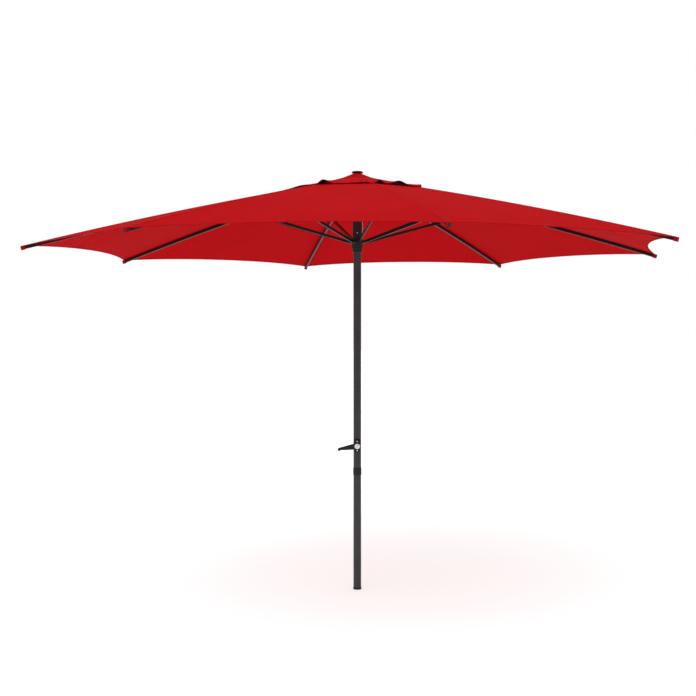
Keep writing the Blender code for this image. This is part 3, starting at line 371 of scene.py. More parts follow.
def moulded(name, colour, roughness, grain_size=0.0007):
    """Injection-moulded black plastic: a spark-eroded grain well under a millimetre, and
    slightly uneven gloss where the melt met the mould."""
    made = bpy.data.materials.new(name)
    made.use_nodes = True
    tree = made.node_tree
    shader = tree.nodes["Principled BSDF"]
    place = node(tree, "ShaderNodeTexCoord").outputs["Object"]
    grain = node(tree, "ShaderNodeTexVoronoi", {"Vector": place, "Scale": 1 / grain_size})
    flow = node(tree, "ShaderNodeTexNoise", {"Vector": place, "Scale": 28.0, "Detail": 3.0})
    gloss = node(tree, "ShaderNodeMapRange", {
        "Value": flow.outputs[0], "From Min": 0.3, "From Max": 0.7,
        "To Min": roughness - 0.07, "To Max": roughness + 0.09,
    })
    scuffed = tuple(1.9 * c for c in linear(colour)[:3]) + (1.0,)
    tone = node(tree, "ShaderNodeMix", {0: flow.outputs[0], 6: linear(colour), 7: scuffed},
                data_type="RGBA")
    relief = node(tree, "ShaderNodeBump", {
        "Height": grain.outputs["Distance"], "Strength": 0.5, "Distance": 0.00008,
    })
    tree.links.new(tone.outputs[2], shader.inputs["Base Color"])
    tree.links.new(gloss.outputs[0], shader.inputs["Roughness"])
    tree.links.new(relief.outputs[0], shader.inputs["Normal"])
    shader.inputs["Specular IOR Level"].default_value = 0.35
    return made


mast_coat = powder_coat("anthracite_powder_coat", "38383b", "28282a", 0.42, 0.35)
black_plastic = moulded("moulded_polyamide", "0a0a0b", 0.52)

lower_low, lower_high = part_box("lower_mast")
mast_radius = lower_high.x
MAST_WALL = 0.0015
MAST_EDGE = 0.0004         # the broken edge at each cut end


def tube_profile(outer, inner, low, high, edge):
    return [
        (outer, high - edge), (outer, low + edge), (outer - edge, low), (inner + edge, low),
        (inner, low + edge), (inner, high - edge), (inner + edge, high), (outer - edge, high),
    ]


lower_tube = revolved("lower_mast_tube", tube_profile(
    mast_radius, mast_radius - MAST_WALL, lower_low.z, lower_high.z, MAST_EDGE))
fitted(lower_tube, "lower_mast", "mast_coating", mast_coat, "lower_mast")

FOOT_HEIGHT = 0.0135
FOOT_FLOOR = 0.003
FOOT_GAP = 0.0003
FOOT_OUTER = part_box("foot_cap")[1].x
FOOT_TOP_EDGE = [(0.0006, 0), (0.0002, 0.0004), (0, 0.0012)]      # inwards and down
FOOT_BASE_EDGE = [(0, 0.0022), (0.0006, 0.0007), (0.0020, 0)]     # inwards and up

foot_boot = revolved("foot_boot", [
    (mast_radius + FOOT_GAP, FOOT_HEIGHT),
    *[(FOOT_OUTER - inward, FOOT_HEIGHT - down) for inward, down in FOOT_TOP_EDGE],
    *[(FOOT_OUTER - inward, up) for inward, up in FOOT_BASE_EDGE],
    (0, 0), (0, FOOT_FLOOR), (mast_radius + FOOT_GAP, FOOT_FLOOR),
])
fitted(foot_boot, "lower_mast", "moulded_black", black_plastic, "foot_cap")

# The collar is waisted at both ends and carries two raised beads, as it is gripped to pull the
# halves of the mast apart.
collar_low, collar_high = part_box("mast_collar")
collar_outer = collar_high.x
collar_height = collar_high.z - collar_low.z
BEAD_SHARES = (0.30, 0.70)
BEAD_WIDTH = 0.0022
BEAD_DEPTH = 0.0006
COLLAR_WAIST = 0.0011
COLLAR_WAIST_POWER = 8
COLLAR_RIM = 0.0019
COLLAR_GAP = 0.0004

collar_share = np.linspace(0.02, 0.98, 49)
collar_bulge = sum(
    np.exp(-((collar_share - at) * collar_height / BEAD_WIDTH) ** 2) for at in BEAD_SHARES)
collar_taper = COLLAR_WAIST * (np.abs(2 * collar_share - 1) ** COLLAR_WAIST_POWER)
collar_radius = collar_outer - BEAD_DEPTH * (1 - collar_bulge) - collar_taper
collar_inner = mast_radius + COLLAR_GAP
collar_side = np.column_stack([collar_radius, collar_high.z - collar_share * collar_height])
collar = revolved("joint_collar", [
    (collar_inner, collar_high.z), (collar_outer - COLLAR_RIM, collar_high.z), *collar_side.tolist(),
    (collar_outer - COLLAR_RIM, collar_low.z), (collar_inner, collar_low.z),
])
fitted(collar, "lower_mast", "moulded_black", black_plastic, "mast_collar")


# The upper tube and the turned and moulded parts with cut-outs keep the CAD's shape exactly:
# their triangles are joined, their edges broken, and their curved faces shaded as curved.

def dressed(name, cad_node, body, slot, finish, edge=0.0005, crease=30):
    """A copy of a CAD node's mesh with its points merged and flat faces joined, and with every
    edge sharper than crease degrees rounded to edge metres."""
    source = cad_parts[cad_node].data
    places = np.empty(len(source.vertices) * 3)
    source.vertices.foreach_get("co", places)
    faces = np.empty(len(source.polygons) * 3, np.int32)
    source.polygons.foreach_get("vertices", faces)
    mesh = bpy.data.meshes.new(name)
    mesh.from_pydata(places.reshape(-1, 3).tolist(), [], faces.reshape(-1, 3).tolist())
    work = bmesh.new()
    work.from_mesh(mesh)
    bmesh.ops.remove_doubles(work, verts=work.verts, dist=MERGED)
    bmesh.ops.dissolve_limit(
        work, angle_limit=math.radians(0.5), verts=work.verts, edges=work.edges,
        use_dissolve_boundaries=False,
    )
    work.to_mesh(mesh)
    work.free()
    mesh.shade_smooth()
    mesh.set_sharp_from_angle(angle=math.radians(crease))
    made = bpy.data.objects.new(name, mesh)
    bpy.context.scene.collection.objects.link(made)
    if edge:
        bevel = made.modifiers.new("broken_edges", "BEVEL")
        bevel.width = edge
        bevel.segments = 2
        bevel.limit_method = "ANGLE"
        bevel.angle_limit = math.radians(crease)
        bevel.harden_normals = True
    return fitted(made, body, slot, finish, cad_node)


def plated(name, colour, roughness, lines=0.0004):
    """Zinc-nickel plated steel: bright, with fine turning lines and a slightly cloudy gloss."""
    made = bpy.data.materials.new(name)
    made.use_nodes = True
    tree = made.node_tree
    shader = tree.nodes["Principled BSDF"]
    place = node(tree, "ShaderNodeTexCoord").outputs["Object"]
    cloud = node(tree, "ShaderNodeTexNoise", {"Vector": place, "Scale": 60.0, "Detail": 4.0})
    gloss = node(tree, "ShaderNodeMapRange", {
        "Value": cloud.outputs[0], "From Min": 0.3, "From Max": 0.7,
        "To Min": roughness - 0.06, "To Max": roughness + 0.10,
    })
    turning = node(tree, "ShaderNodeTexNoise", {"Vector": place, "Scale": 1 / lines, "Detail": 2.0})
    relief = node(tree, "ShaderNodeBump", {
        "Height": turning.outputs[0], "Strength": 0.25, "Distance": 0.00005,
    })
    tree.links.new(gloss.outputs[0], shader.inputs["Roughness"])
    tree.links.new(relief.outputs[0], shader.inputs["Normal"])
    shader.inputs["Base Color"].default_value = linear(colour)
    shader.inputs["Metallic"].default_value = 1.0
    return made


bright_steel = plated("bright_plated_steel", "dcdcdc", 0.26)
spigot_steel = plated("zinc_plated_steel", "a9acad", 0.38)

dressed("upper_mast_tube", "upper_mast", "upper_mast", "mast_coating", mast_coat, edge=0)
spigot_low, spigot_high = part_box("mast_spigot")
SPIGOT_WALL = 0.0018
SPIGOT_EDGE = 0.0009
spigot = revolved("mast_spigot_tube", tube_profile(
    spigot_high.x, spigot_high.x - SPIGOT_WALL, spigot_low.z, spigot_high.z, SPIGOT_EDGE))
fitted(spigot, "upper_mast", "spigot_steel", spigot_steel, "mast_spigot")


# ---- Crank
# A moulded housing screwed to the mast, with a tapered arm, a pressed steel cap and a knob that
# spins. The spindle runs into the mast, where its drum winds the lift cord.

CRANK_DROOP = math.radians(9)
CAP_PROFILE = [             # radius and height over the arm's face, in millimetres
    (0, 4.6), (3.2, 4.6), (4.6, 4.3), (5.6, 3.5), (6.2, 3.0), (7.4, 3.0), (8.4, 3.4),
    (10.6, 3.9), (13.2, 3.6), (15.4, 2.7), (16.9, 1.5), (17.5, 0.6), (17.5, 0), (0, 0),
]
KNOB_PROFILE = [            # radius and height over the arm's face, in millimetres
    (0, 28.4), (3.4, 28.3), (5.6, 28.0), (7.6, 27.0), (8.9, 25.2), (9.5, 22.5), (9.5, 19.0),
    (9.2, 14.0), (8.5, 9.0), (8.0, 5.0), (7.4, 2.4), (6.5, 0.6), (6.5, 0.5), (3.0, 0.5),
    (3.0, -9.0), (0, -9.0),
]

crank_out = radial(CRANK_ANGLE, 1, 0)
crank_side = np.cross([0, 0, 1], crank_out)
crank_frame = np.eye(4)
crank_frame[:3, :3] = np.column_stack([crank_side, [0, 0, 1], crank_out])
crank_frame[:3, 3] = (0, 0, CRANK_HEIGHT)
ARM_FACE = 0.052            # the arm's front face, from the mast's axis
ARM_REACH = 0.112           # from the spindle's axis to the knob's
CAP_GAP = 0.0003


def crank_place(along_arm, out):
    """The frame of something on the crank: so far along its arm and so far out from the mast."""
    lean = math.pi + CRANK_DROOP
    local = Matrix.Translation((along_arm * math.cos(lean), along_arm * math.sin(lean), out))
    return Matrix(crank_frame.tolist()) @ local


dressed("crank_housing_shell", "crank_housing", "upper_mast", "moulded_black", black_plastic, 0.0004)
dressed("crank_arm_lever", "crank_arm", "crank", "moulded_black", black_plastic, 0.0004)
for screw in ("housing_screw_upper", "housing_screw_lower"):
    dressed(screw + "_head", screw, "upper_mast", "bright_steel", bright_steel, 0.0002)
dressed("crank_spindle_bar", "crank_spindle", "crank", "bright_steel", spigot_steel, 0)
dressed("cord_drum_reel", "cord_drum", "crank", "moulded_black", black_plastic, 0.0002)
cap = revolved("crank_cap", np.array(CAP_PROFILE) / 1000 + [0, CAP_GAP],
               place=crank_place(0, ARM_FACE), closed=False, crease=50)
fitted(cap, "crank", "bright_steel", bright_steel, "crank_hub_cap")
knob = revolved("crank_knob_grip", np.array(KNOB_PROFILE) / 1000, steps=48,
                place=crank_place(ARM_REACH, ARM_FACE), closed=False, crease=50)
fitted(knob, "crank_knob", "moulded_black", black_plastic, "crank_knob")


# ---- Top hub, pulley and finial
# One black moulding carries the ribs on a ring of steel wire. The pulley sits in a slot of the
# mast just below, and a low domed finial holds the vent cap down.

dressed("top_hub_moulding", "top_hub", "upper_mast", "moulded_black", black_plastic, 0.0005)
dressed("cord_pulley_wheel", "cord_pulley", "cord_pulley", "moulded_black", black_plastic, 0.0001)

WIRE_RADIUS = 0.0015
WIRE_RING = 0.045
HUB_HEIGHT = 2.518          # the ribs' pivots
ring_turn = np.linspace(0, 2 * np.pi, 128, endpoint=False)[:, None]
wire_turn = np.linspace(0, 2 * np.pi, 10, endpoint=False)[None, :]
wire_reach = WIRE_RING + WIRE_RADIUS * np.cos(wire_turn)
ring = skin("hub_wire", np.stack([
    wire_reach * np.cos(ring_turn), wire_reach * np.sin(ring_turn),
    HUB_HEIGHT + WIRE_RADIUS * np.sin(wire_turn) + 0 * ring_turn,
], axis=2), around=True, along=True)
fitted(ring, "upper_mast", "bright_steel", bright_steel, "hub_ring_wire")

DOME_SHARE = 0.62           # of the finial's radius, under its nearly flat top
DOME_FALL = 0.0016
SHOULDER_FALL = 0.0058
SHOULDER_START = math.radians(75)
FINIAL_BASE_EDGE = [(0, 0.0022), (0.0007, 0.0006), (0.0022, 0)]   # inwards and up

finial_low, finial_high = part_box("finial")
finial_radius = finial_high.x
dome_share = np.linspace(0, 1, 13)
dome = np.column_stack([
    finial_radius * (DOME_SHARE * dome_share), finial_high.z - DOME_FALL * dome_share ** 2,
])
shoulder_turn = np.linspace(SHOULDER_START, 0, 9)
shoulder_out = (np.cos(shoulder_turn) - math.cos(SHOULDER_START)) / (1 - math.cos(SHOULDER_START))
shoulder_down = 1 - np.sin(shoulder_turn) / math.sin(SHOULDER_START)
shoulder = np.column_stack([
    finial_radius * (DOME_SHARE + (1 - DOME_SHARE) * shoulder_out),
    finial_high.z - DOME_FALL - SHOULDER_FALL * shoulder_down,
])
finial = revolved("finial_cap", [
    *dome.tolist(), *shoulder.tolist(),
    *[(finial_radius - inward, finial_low.z + up) for inward, up in FINIAL_BASE_EDGE],
    (0, finial_low.z),
], closed=False)
fitted(finial, "upper_mast", "moulded_black", black_plastic, "finial")


# ---- Runner
# One black moulding that slides on the mast: a slotted disc for the struts, with a long
# sleeve above it and a short skirt below. A bright screw through the sleeve holds its liner.

dressed("runner_moulding", "runner", "runner", "moulded_black", black_plastic, 0.0006)
SLEEVE_RADIUS = 0.0285
SLEEVE_SCREW_HEIGHT = 2.200
SLEEVE_SCREW = [(0, 1.7), (1.6, 1.6), (2.9, 1.1), (3.5, 0.3), (3.5, -0.4), (0, -0.4)]

screw_place = np.eye(4)
screw_place[:3, :3] = crank_frame[:3, :3]
screw_place[:3, 3] = radial(CRANK_ANGLE, SLEEVE_RADIUS, SLEEVE_SCREW_HEIGHT)
sleeve_screw = revolved("sleeve_screw", np.array(SLEEVE_SCREW) / 1000, steps=32,
                        place=screw_place, closed=False)
fitted(sleeve_screw, "runner", "bright_steel", bright_steel)


# ---- Ribs and struts
# Eight bent rectangular steel tubes, powder-coated black, each with a plastic cap on its end
# and a riveted bracket that a straight strut from the runner pushes on.

RIBS = 8
SECTOR = 2 * math.pi / RIBS
HALF = SECTOR / 2
TIP_RADIUS = 2.0
PIVOT_RADIUS = 0.045
RIB_INSET = 0.012
RIB_FALL = 0.440
RIB_BOW = 0.020
RIB_WIDTH, RIB_DEPTH = 0.014, 0.020
RIB_CORNER = 0.0022
RIB_STEPS = 40
TIP_LENGTH = 0.024
TIP_WALL = 0.0015
CAP_CORNER = 0.0032
CAP_ENDS = [                # distance along the end cap, and its size there as a share
    (0, 0.97), (0.0008, 1), (0.003, 1), (0.019, 1), (0.022, 0.97), (0.0236, 0.88), (0.0243, 0.72),
]


def rib_height(radius):
    """Height of the bent rib's middle line: a straight fall and a parabolic bow."""
    share = (radius - PIVOT_RADIUS) / (TIP_RADIUS - PIVOT_RADIUS)
    return HUB_HEIGHT - RIB_FALL * share + 4 * RIB_BOW * share * (1 - share)


def rounded_box(width, depth, corner, steps=4):
    """Points round a rectangle of that width and depth whose corners are quarter circles."""
    turn = np.radians(np.linspace(0, 90, steps + 1))
    x = width / 2 - corner + corner * np.cos(turn)
    y = depth / 2 - corner + corner * np.sin(turn)
    return np.concatenate([
        np.column_stack([x, y]), np.column_stack([-x, y])[::-1],
        np.column_stack([-x, -y]), np.column_stack([x, -y])[::-1],
    ])


def turned_about(points, number):
    """Points of rib 1, turned about the mast to rib number."""
    angle = (number - 1) * SECTOR
    cosine, sine = math.cos(angle), math.sin(angle)
    turn = np.array([[cosine, -sine, 0], [sine, cosine, 0], [0, 0, 1]])
    return points @ turn.T


frame_coat = powder_coat("black_powder_coat", "0e0e0f", "09090a", 0.42, 0.22)
rib_reach = np.concatenate([
    np.linspace(PIVOT_RADIUS - RIB_INSET, TIP_RADIUS - 1.5 * TIP_LENGTH, RIB_STEPS),
    [TIP_RADIUS - TIP_WALL],
])
rib_path = np.column_stack([rib_reach, 0 * rib_reach, rib_height(rib_reach)])
rib_section = rounded_box(RIB_WIDTH, RIB_DEPTH, RIB_CORNER)
cap_along, cap_size = np.array(CAP_ENDS).T
cap_reach = TIP_RADIUS - TIP_LENGTH + cap_along
cap_path = np.column_stack([cap_reach, 0 * cap_reach, rib_height(cap_reach)])
cap_section = rounded_box(RIB_WIDTH + 2 * TIP_WALL, RIB_DEPTH + 2 * TIP_WALL, CAP_CORNER)

for number in range(1, RIBS + 1):
    body = f"rib_{number}"
    up = np.array([0.0, 0.0, 1.0])
    rib = swept(f"rib_tube_{number}", rib_section, turned_about(rib_path, number), up)
    fitted(rib, body, "frame_coating", frame_coat, body)
    end_cap = swept(f"rib_end_cap_{number}", cap_section, turned_about(cap_path, number), up,
                    np.column_stack([cap_size, cap_size]))
    fitted(end_cap, body, "moulded_black", black_plastic, f"rib_tip_{number}")
    dressed(f"rib_saddle_{number}", f"rib_bracket_{number}", body, "frame_coating", frame_coat, 0.0003)
    strut = f"strut_{number}"
    dressed(f"strut_bar_{number}", strut, strut, "frame_coating", frame_coat, 0.0012)

# Bright rivets pin the struts' inner ends in the runner's slots and their outer ends in the
# brackets' ears: low domed heads on both sides of each.
RIVET_HEAD = [              # radius and height, in millimetres
    (0, 1.3), (1.5, 1.15), (2.8, 0.8), (3.5, 0.25), (3.6, 0), (0, 0),
]
RUNNER_PIVOT = (0.045, 2.141)
STRUT_PIVOT = (0.774695, 2.341802)
STRUT_HALF = 0.005          # half the width that each rivet holds together
BRACKET_HALF = 0.0103


def rivet_pair(name, pivot, half, number, body):
    """Two domed heads facing out along the pivot's axis, one on each side of the rib's plane."""
    angle = (number - 1) * SECTOR
    middle = radial(angle, pivot[0], pivot[1])
    for way in (1, -1):
        across = way * radial(angle + math.pi / 2, 1, 0)
        place = np.eye(4)
        place[:3, :3] = np.column_stack([np.cross([0, 0, 1], across), [0, 0, 1], across])
        place[:3, 3] = middle + half * across
        side = "left" if way > 0 else "right"
        head = revolved(f"{name}_{side}_{number}", np.array(RIVET_HEAD) / 1000, steps=20,
                        place=place, closed=False, crease=50)
        fitted(head, body, "bright_steel", bright_steel)


for number in range(1, RIBS + 1):
    rivet_pair("strut_rivet", RUNNER_PIVOT, STRUT_HALF, number, f"strut_{number}")
    rivet_pair("bracket_rivet", STRUT_PIVOT, BRACKET_HALF, number, f"rib_{number}")


# ---- Main canopy
# Red polyester, cut in eight panels and sewn along the ribs with flat double-stitched seams,
# hemmed round its edge, and held at each rib's end by a sewn pocket. Each sheet here is centred
# on a rib and meets its neighbours in the middle of the panels, so the panels show no joint.

CLOTH = 0.0009
CLOTH_LIFT = 0.0016
CORNER_RADIUS = 1.992
HEM_SAGITTA = 0.090
HOLE_RADIUS = 0.360
PANEL_SAG = 0.009           # the panels' middles hang this far below a straight line
PUCKER = 0.0016             # height of the tension folds at each corner
PUCKER_REACH = 0.22
PUCKER_FOLDS = 11


def along_rib(radius, angle):
    """Where a level line across the panel from this point meets the rib."""
    return radius * np.cos(HALF - np.abs(angle)) / math.cos(HALF)


def hem_reach(angle, corner, sagitta):
    """Where a ray at an angle from the rib meets the hem, a parabola between two corners."""
    slope = np.tan(HALF - np.abs(angle))
    reach, half_span = corner * math.cos(HALF), corner * math.sin(HALF)
    bend = np.maximum(sagitta * slope * slope / half_span ** 2, 1e-9)
    return (1 - np.sqrt(1 - 4 * bend * (reach - sagitta))) / (2 * bend) / np.cos(HALF - np.abs(angle))


def cloth_height(radius, angle):
    """The canopy's underside: straight across from rib to rib, less a sag that grows to the
    middle of the panel, plus folds that spread from the corner and die away."""
    share = np.clip((radius - HOLE_RADIUS) / (CORNER_RADIUS - HOLE_RADIUS), 0, 1)
    across = 1 - (1 - np.abs(angle) / HALF) ** 2
    out = CORNER_RADIUS - radius * np.cos(angle)
    aside = radius * np.abs(np.sin(angle))
    fan = np.arctan2(aside, np.maximum(out, 1e-4))
    folds = PUCKER * np.exp(-np.hypot(out, aside) / PUCKER_REACH) * (np.cos(PUCKER_FOLDS * fan) - 1) / 2
    sag = PANEL_SAG * np.sin(np.pi * share) * across
    return rib_height(along_rib(radius, angle)) + RIB_DEPTH / 2 + CLOTH_LIFT - sag + folds


def on_canopy(radius, angle, height, number):
    points = np.stack([radius * np.cos(angle), radius * np.sin(angle), height], axis=2)
    return turned_about(points, number)


def panel_uv(radius, angle):
    """The cut cloth's own metres: across the panel from its middle, and along its middle."""
    beside = HALF - np.abs(angle)
    return np.stack([radius * np.sin(beside) * np.sign(angle + 1e-12), radius * np.cos(beside)], axis=2)


THREAD_PITCH = 0.0011       # the yarns are 0.5 mm apart; drawn coarser so that they show close up
MOTTLE_SIZE = 0.35
STITCH_PITCH = 0.0045
STITCH_LENGTH_SHARE = 0.7
STITCH_WIDTH = 0.0007


def polyester(name, colour, deeper, stitch_lines=()):
    """Solution-dyed polyester: a plain weave, matt, that lets a little light through. Its tone
    drifts softly over the cloth. stitch_lines are rows of stitches at those distances along U,
    sewn in thread a shade lighter that pulls the cloth in."""
    made = bpy.data.materials.new(name)
    made.use_nodes = True
    tree = made.node_tree
    shader = tree.nodes["Principled BSDF"]
    place = node(tree, "ShaderNodeTexCoord").outputs["Object"]
    cut = node(tree, "ShaderNodeSeparateXYZ", {0: node(tree, "ShaderNodeUVMap").outputs[0]})
    yarns = []
    for axis in (0, 1):
        phase = node(tree, "ShaderNodeMath", {0: cut.outputs[axis], 1: 2 * math.pi / THREAD_PITCH},
                     operation="MULTIPLY")
        yarns.append(node(tree, "ShaderNodeMath", {0: phase.outputs[0]}, operation="SINE"))
    weave = node(tree, "ShaderNodeMath", {0: yarns[0].outputs[0], 1: yarns[1].outputs[0]},
                 operation="MULTIPLY")
    mottle = node(tree, "ShaderNodeTexNoise", {"Vector": place, "Scale": 1 / MOTTLE_SIZE, "Detail": 5.0})
    slub = node(tree, "ShaderNodeTexNoise", {"Vector": place, "Scale": 70.0, "Detail": 2.0})
    drift = node(tree, "ShaderNodeMath", {0: slub.outputs[0], 1: 0.35, 2: mottle.outputs[0]},
                 operation="MULTIPLY_ADD")
    spread = node(tree, "ShaderNodeMapRange", {
        "Value": drift.outputs[0], "From Min": 0.45, "From Max": 0.95,
    })
    tone = node(tree, "ShaderNodeMix", {0: spread.outputs[0], 6: linear(deeper), 7: linear(colour)},
                data_type="RGBA")
    tint, height = tone.outputs[2], weave.outputs[0]
    for line in stitch_lines:
        off = node(tree, "ShaderNodeMath", {0: cut.outputs[0], 1: line}, operation="SUBTRACT")
        near = node(tree, "ShaderNodeMath", {0: off.outputs[0], 1: 0.0, 2: STITCH_WIDTH},
                    operation="COMPARE")
        beat = node(tree, "ShaderNodeMath", {0: cut.outputs[1], 1: STITCH_PITCH}, operation="MODULO")
        on = node(tree, "ShaderNodeMath", {0: beat.outputs[0], 1: STITCH_LENGTH_SHARE * STITCH_PITCH},
                  operation="LESS_THAN")
        thread = node(tree, "ShaderNodeMath", {0: near.outputs[0], 1: on.outputs[0]},
                      operation="MULTIPLY")
        tint = node(tree, "ShaderNodeMix", {0: thread.outputs[0], 6: tint, 7: linear("c23036")},
                    data_type="RGBA").outputs[2]
        height = node(tree, "ShaderNodeMath", {0: thread.outputs[0], 1: 4.0, 2: height},
                      operation="MULTIPLY_ADD").outputs[0]
    crumple = node(tree, "ShaderNodeTexNoise", {"Vector": place, "Scale": 6.0, "Detail": 3.0})
    broad = node(tree, "ShaderNodeBump", {
        "Height": crumple.outputs[0], "Strength": 0.25, "Distance": 0.01,
    })
    relief = node(tree, "ShaderNodeBump", {
        "Height": height, "Strength": 0.6, "Distance": 0.00012, "Normal": broad.outputs[0],
    })
    tree.links.new(tint, shader.inputs["Base Color"])
    tree.links.new(relief.outputs[0], shader.inputs["Normal"])
    shader.inputs["Roughness"].default_value = 0.82
    shader.inputs["Specular IOR Level"].default_value = 0.02
    through = node(tree, "ShaderNodeBsdfTranslucent", {"Color": tint, "Normal": relief.outputs[0]})
    both = node(tree, "ShaderNodeMixShader", {0: 0.16, 1: shader.outputs[0], 2: through.outputs[0]})
    tree.links.new(both.outputs[0], tree.nodes["Material Output"].inputs["Surface"])
    return made


SEAM_WIDTH = 0.017
SEAM_RISE = 0.0011
SEAM_INSET = 0.004
HEM_WIDTH = 0.024
HEM_HALF = 0.0014           # half its thickness
HEM_PROUD = 0.001           # beyond the cloth's edge
VENT_HEM_SHARE = 0.8        # of the main hem's width

red_cloth = polyester("red_polyester", "b9030c", "b1020a")
red_seam = polyester("red_polyester_seam", "b3030b", "aa020a", (-0.0052, 0.0052))
red_hem = polyester("red_polyester_hem", "b3030b", "aa020a", (0.0185,))


def folding(piece):
    """Give a sewn piece a mesh of its own."""
    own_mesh(piece)


def sewn_strip(name, radius, angle, offsets, heights, surface, number, uv_across, uv_along, inward=False):
    """A flat tube of cloth on the canopy, closed round its section. offsets are metres sideways
    from the line of points (radius, angle), or inwards from it, and heights are metres above
    the cloth there."""
    if inward:
        wide_radius = radius[:, None] - offsets[None, :]
        wide_angle = np.broadcast_to(angle[:, None], wide_radius.shape)
    else:
        wide_angle = angle[:, None] + offsets[None, :] / radius[:, None]
        wide_radius = np.broadcast_to(radius[:, None], wide_angle.shape)
    grid = on_canopy(wide_radius, wide_angle, surface(wide_radius, wide_angle) + heights[None, :], number)
    uv = np.stack(np.meshgrid(np.append(uv_across, uv_across[0]), uv_along), axis=2)
    return skin(name, grid, uv, around=True, closed=False, crease=60)


def facing_out(piece):
    """Turn a tube's faces outwards once its open ends have been closed over."""
    work = bmesh.new()
    work.from_mesh(piece.data)
    bmesh.ops.holes_fill(work, edges=[e for e in work.edges if e.is_boundary])
    bmesh.ops.recalc_face_normals(work, faces=work.faces)
    work.to_mesh(piece.data)
    work.free()
    return piece


def cloth_piece(name, points, uv, body, *stands_for):
    """A single sheet, its top side up, given the cloth's thickness upwards. Its rim is left
    out of the smooth shading, so that two sheets that meet look like one."""
    sheet = skin(name, points, uv, closed=False, crease=60)
    if sheet.data.polygons[0].normal.z < 0:
        sheet.data.flip_normals()
    work = bmesh.new()
    work.from_mesh(sheet.data)
    for edge in work.edges:
        edge.smooth = edge.smooth and not edge.is_boundary
    work.to_mesh(sheet.data)
    work.free()
    layer = sheet.modifiers.new("cloth_thickness", "SOLIDIFY")
    layer.thickness = CLOTH
    layer.offset = 1
    return fitted(sheet, body, "canopy_cloth", red_cloth, *stands_for)


GORE_COLUMNS, GORE_ROWS, VENT_ROWS = 61, 65, 29

gore_angles = np.radians(np.linspace(-22.5, 22.5, GORE_COLUMNS))
gore_shares = np.linspace(0, 1, GORE_ROWS)[:, None]
gore_hem = hem_reach(gore_angles, CORNER_RADIUS, HEM_SAGITTA)
gore_radius = HOLE_RADIUS + gore_shares * (gore_hem - HOLE_RADIUS)
gore_angle = np.broadcast_to(gore_angles, gore_radius.shape)
gore_height = cloth_height(gore_radius, gore_angle)
gore_uv = panel_uv(gore_radius, gore_angle)

seam_reach = np.linspace(HOLE_RADIUS - SEAM_INSET, CORNER_RADIUS - SEAM_INSET, 60)
seam_turn = np.linspace(0, 2 * np.pi, 20, endpoint=False)
seam_across = SEAM_WIDTH / 2 * np.sign(np.cos(seam_turn)) * np.abs(np.cos(seam_turn)) ** 0.6
seam_bulge = np.sign(np.sin(seam_turn)) * np.abs(np.sin(seam_turn)) ** 0.5
seam_up = CLOTH + SEAM_RISE / 2 * (1 + seam_bulge)

hem_turn = np.linspace(0, 2 * np.pi, 16, endpoint=False)
hem_across = np.sign(np.cos(hem_turn)) * np.abs(np.cos(hem_turn)) ** 0.4
hem_in = HEM_WIDTH / 2 - HEM_PROUD - HEM_WIDTH / 2 * hem_across
hem_up = CLOTH / 2 + HEM_HALF * np.sign(np.sin(hem_turn)) * np.abs(np.sin(hem_turn)) ** 0.5
hem_along = np.concatenate([[0], np.cumsum(np.hypot(
    np.diff(gore_hem * np.cos(gore_angles)), np.diff(gore_hem * np.sin(gore_angles))))])

POCKET_LENGTH = 0.021
POCKET_MOUTH = 1.9985
POCKET_SIZES = [            # share of the length, width and depth in metres
    (0.0, 0.0188, 0.0240), (0.05, 0.0196, 0.0248), (0.5, 0.0200, 0.0250),
    (0.9, 0.0204, 0.0252), (0.97, 0.0206, 0.0253), (1.0, 0.0198, 0.0246),
]
pocket_share, pocket_width, pocket_depth = np.array(POCKET_SIZES).T
pocket_reach = POCKET_MOUTH - POCKET_LENGTH * (1 - pocket_share)
pocket_path = np.column_stack([pocket_reach, 0 * pocket_reach, rib_height(pocket_reach)])
pocket_section = rounded_box(1.0, 1.0, 0.22, 5)

for number in range(1, RIBS + 1):
    body = f"rib_{number}"
    points = on_canopy(gore_radius, gore_angle, gore_height, number)
    gore = cloth_piece(f"canopy_panel_{number}", points, gore_uv, body, f"canopy_gore_{number}")
    seam = facing_out(sewn_strip(f"rib_seam_{number}", seam_reach, 0 * seam_reach, seam_across, seam_up,
                                 cloth_height, number, seam_across, seam_reach))
    hem = facing_out(sewn_strip(f"canopy_hem_{number}", gore_hem, gore_angles, hem_in, hem_up,
                                cloth_height, number, hem_in, hem_along, inward=True))
    pocket = swept(f"tip_pocket_{number}", pocket_section, turned_about(pocket_path, number),
                   np.array([0.0, 0.0, 1.0]), np.column_stack([pocket_width, pocket_depth]))
    fitted(seam, body, "canopy_cloth", red_seam)
    fitted(hem, body, "canopy_cloth", red_hem)
    fitted(pocket, body, "canopy_cloth", red_hem)
    for piece in (gore, seam, hem):
        folding(piece)


# ---- Vent cap
# A small second canopy of the same red polyester over the hole at the top, sewn down at the
# ribs only. Its hem stands up between them and lets the wind out.

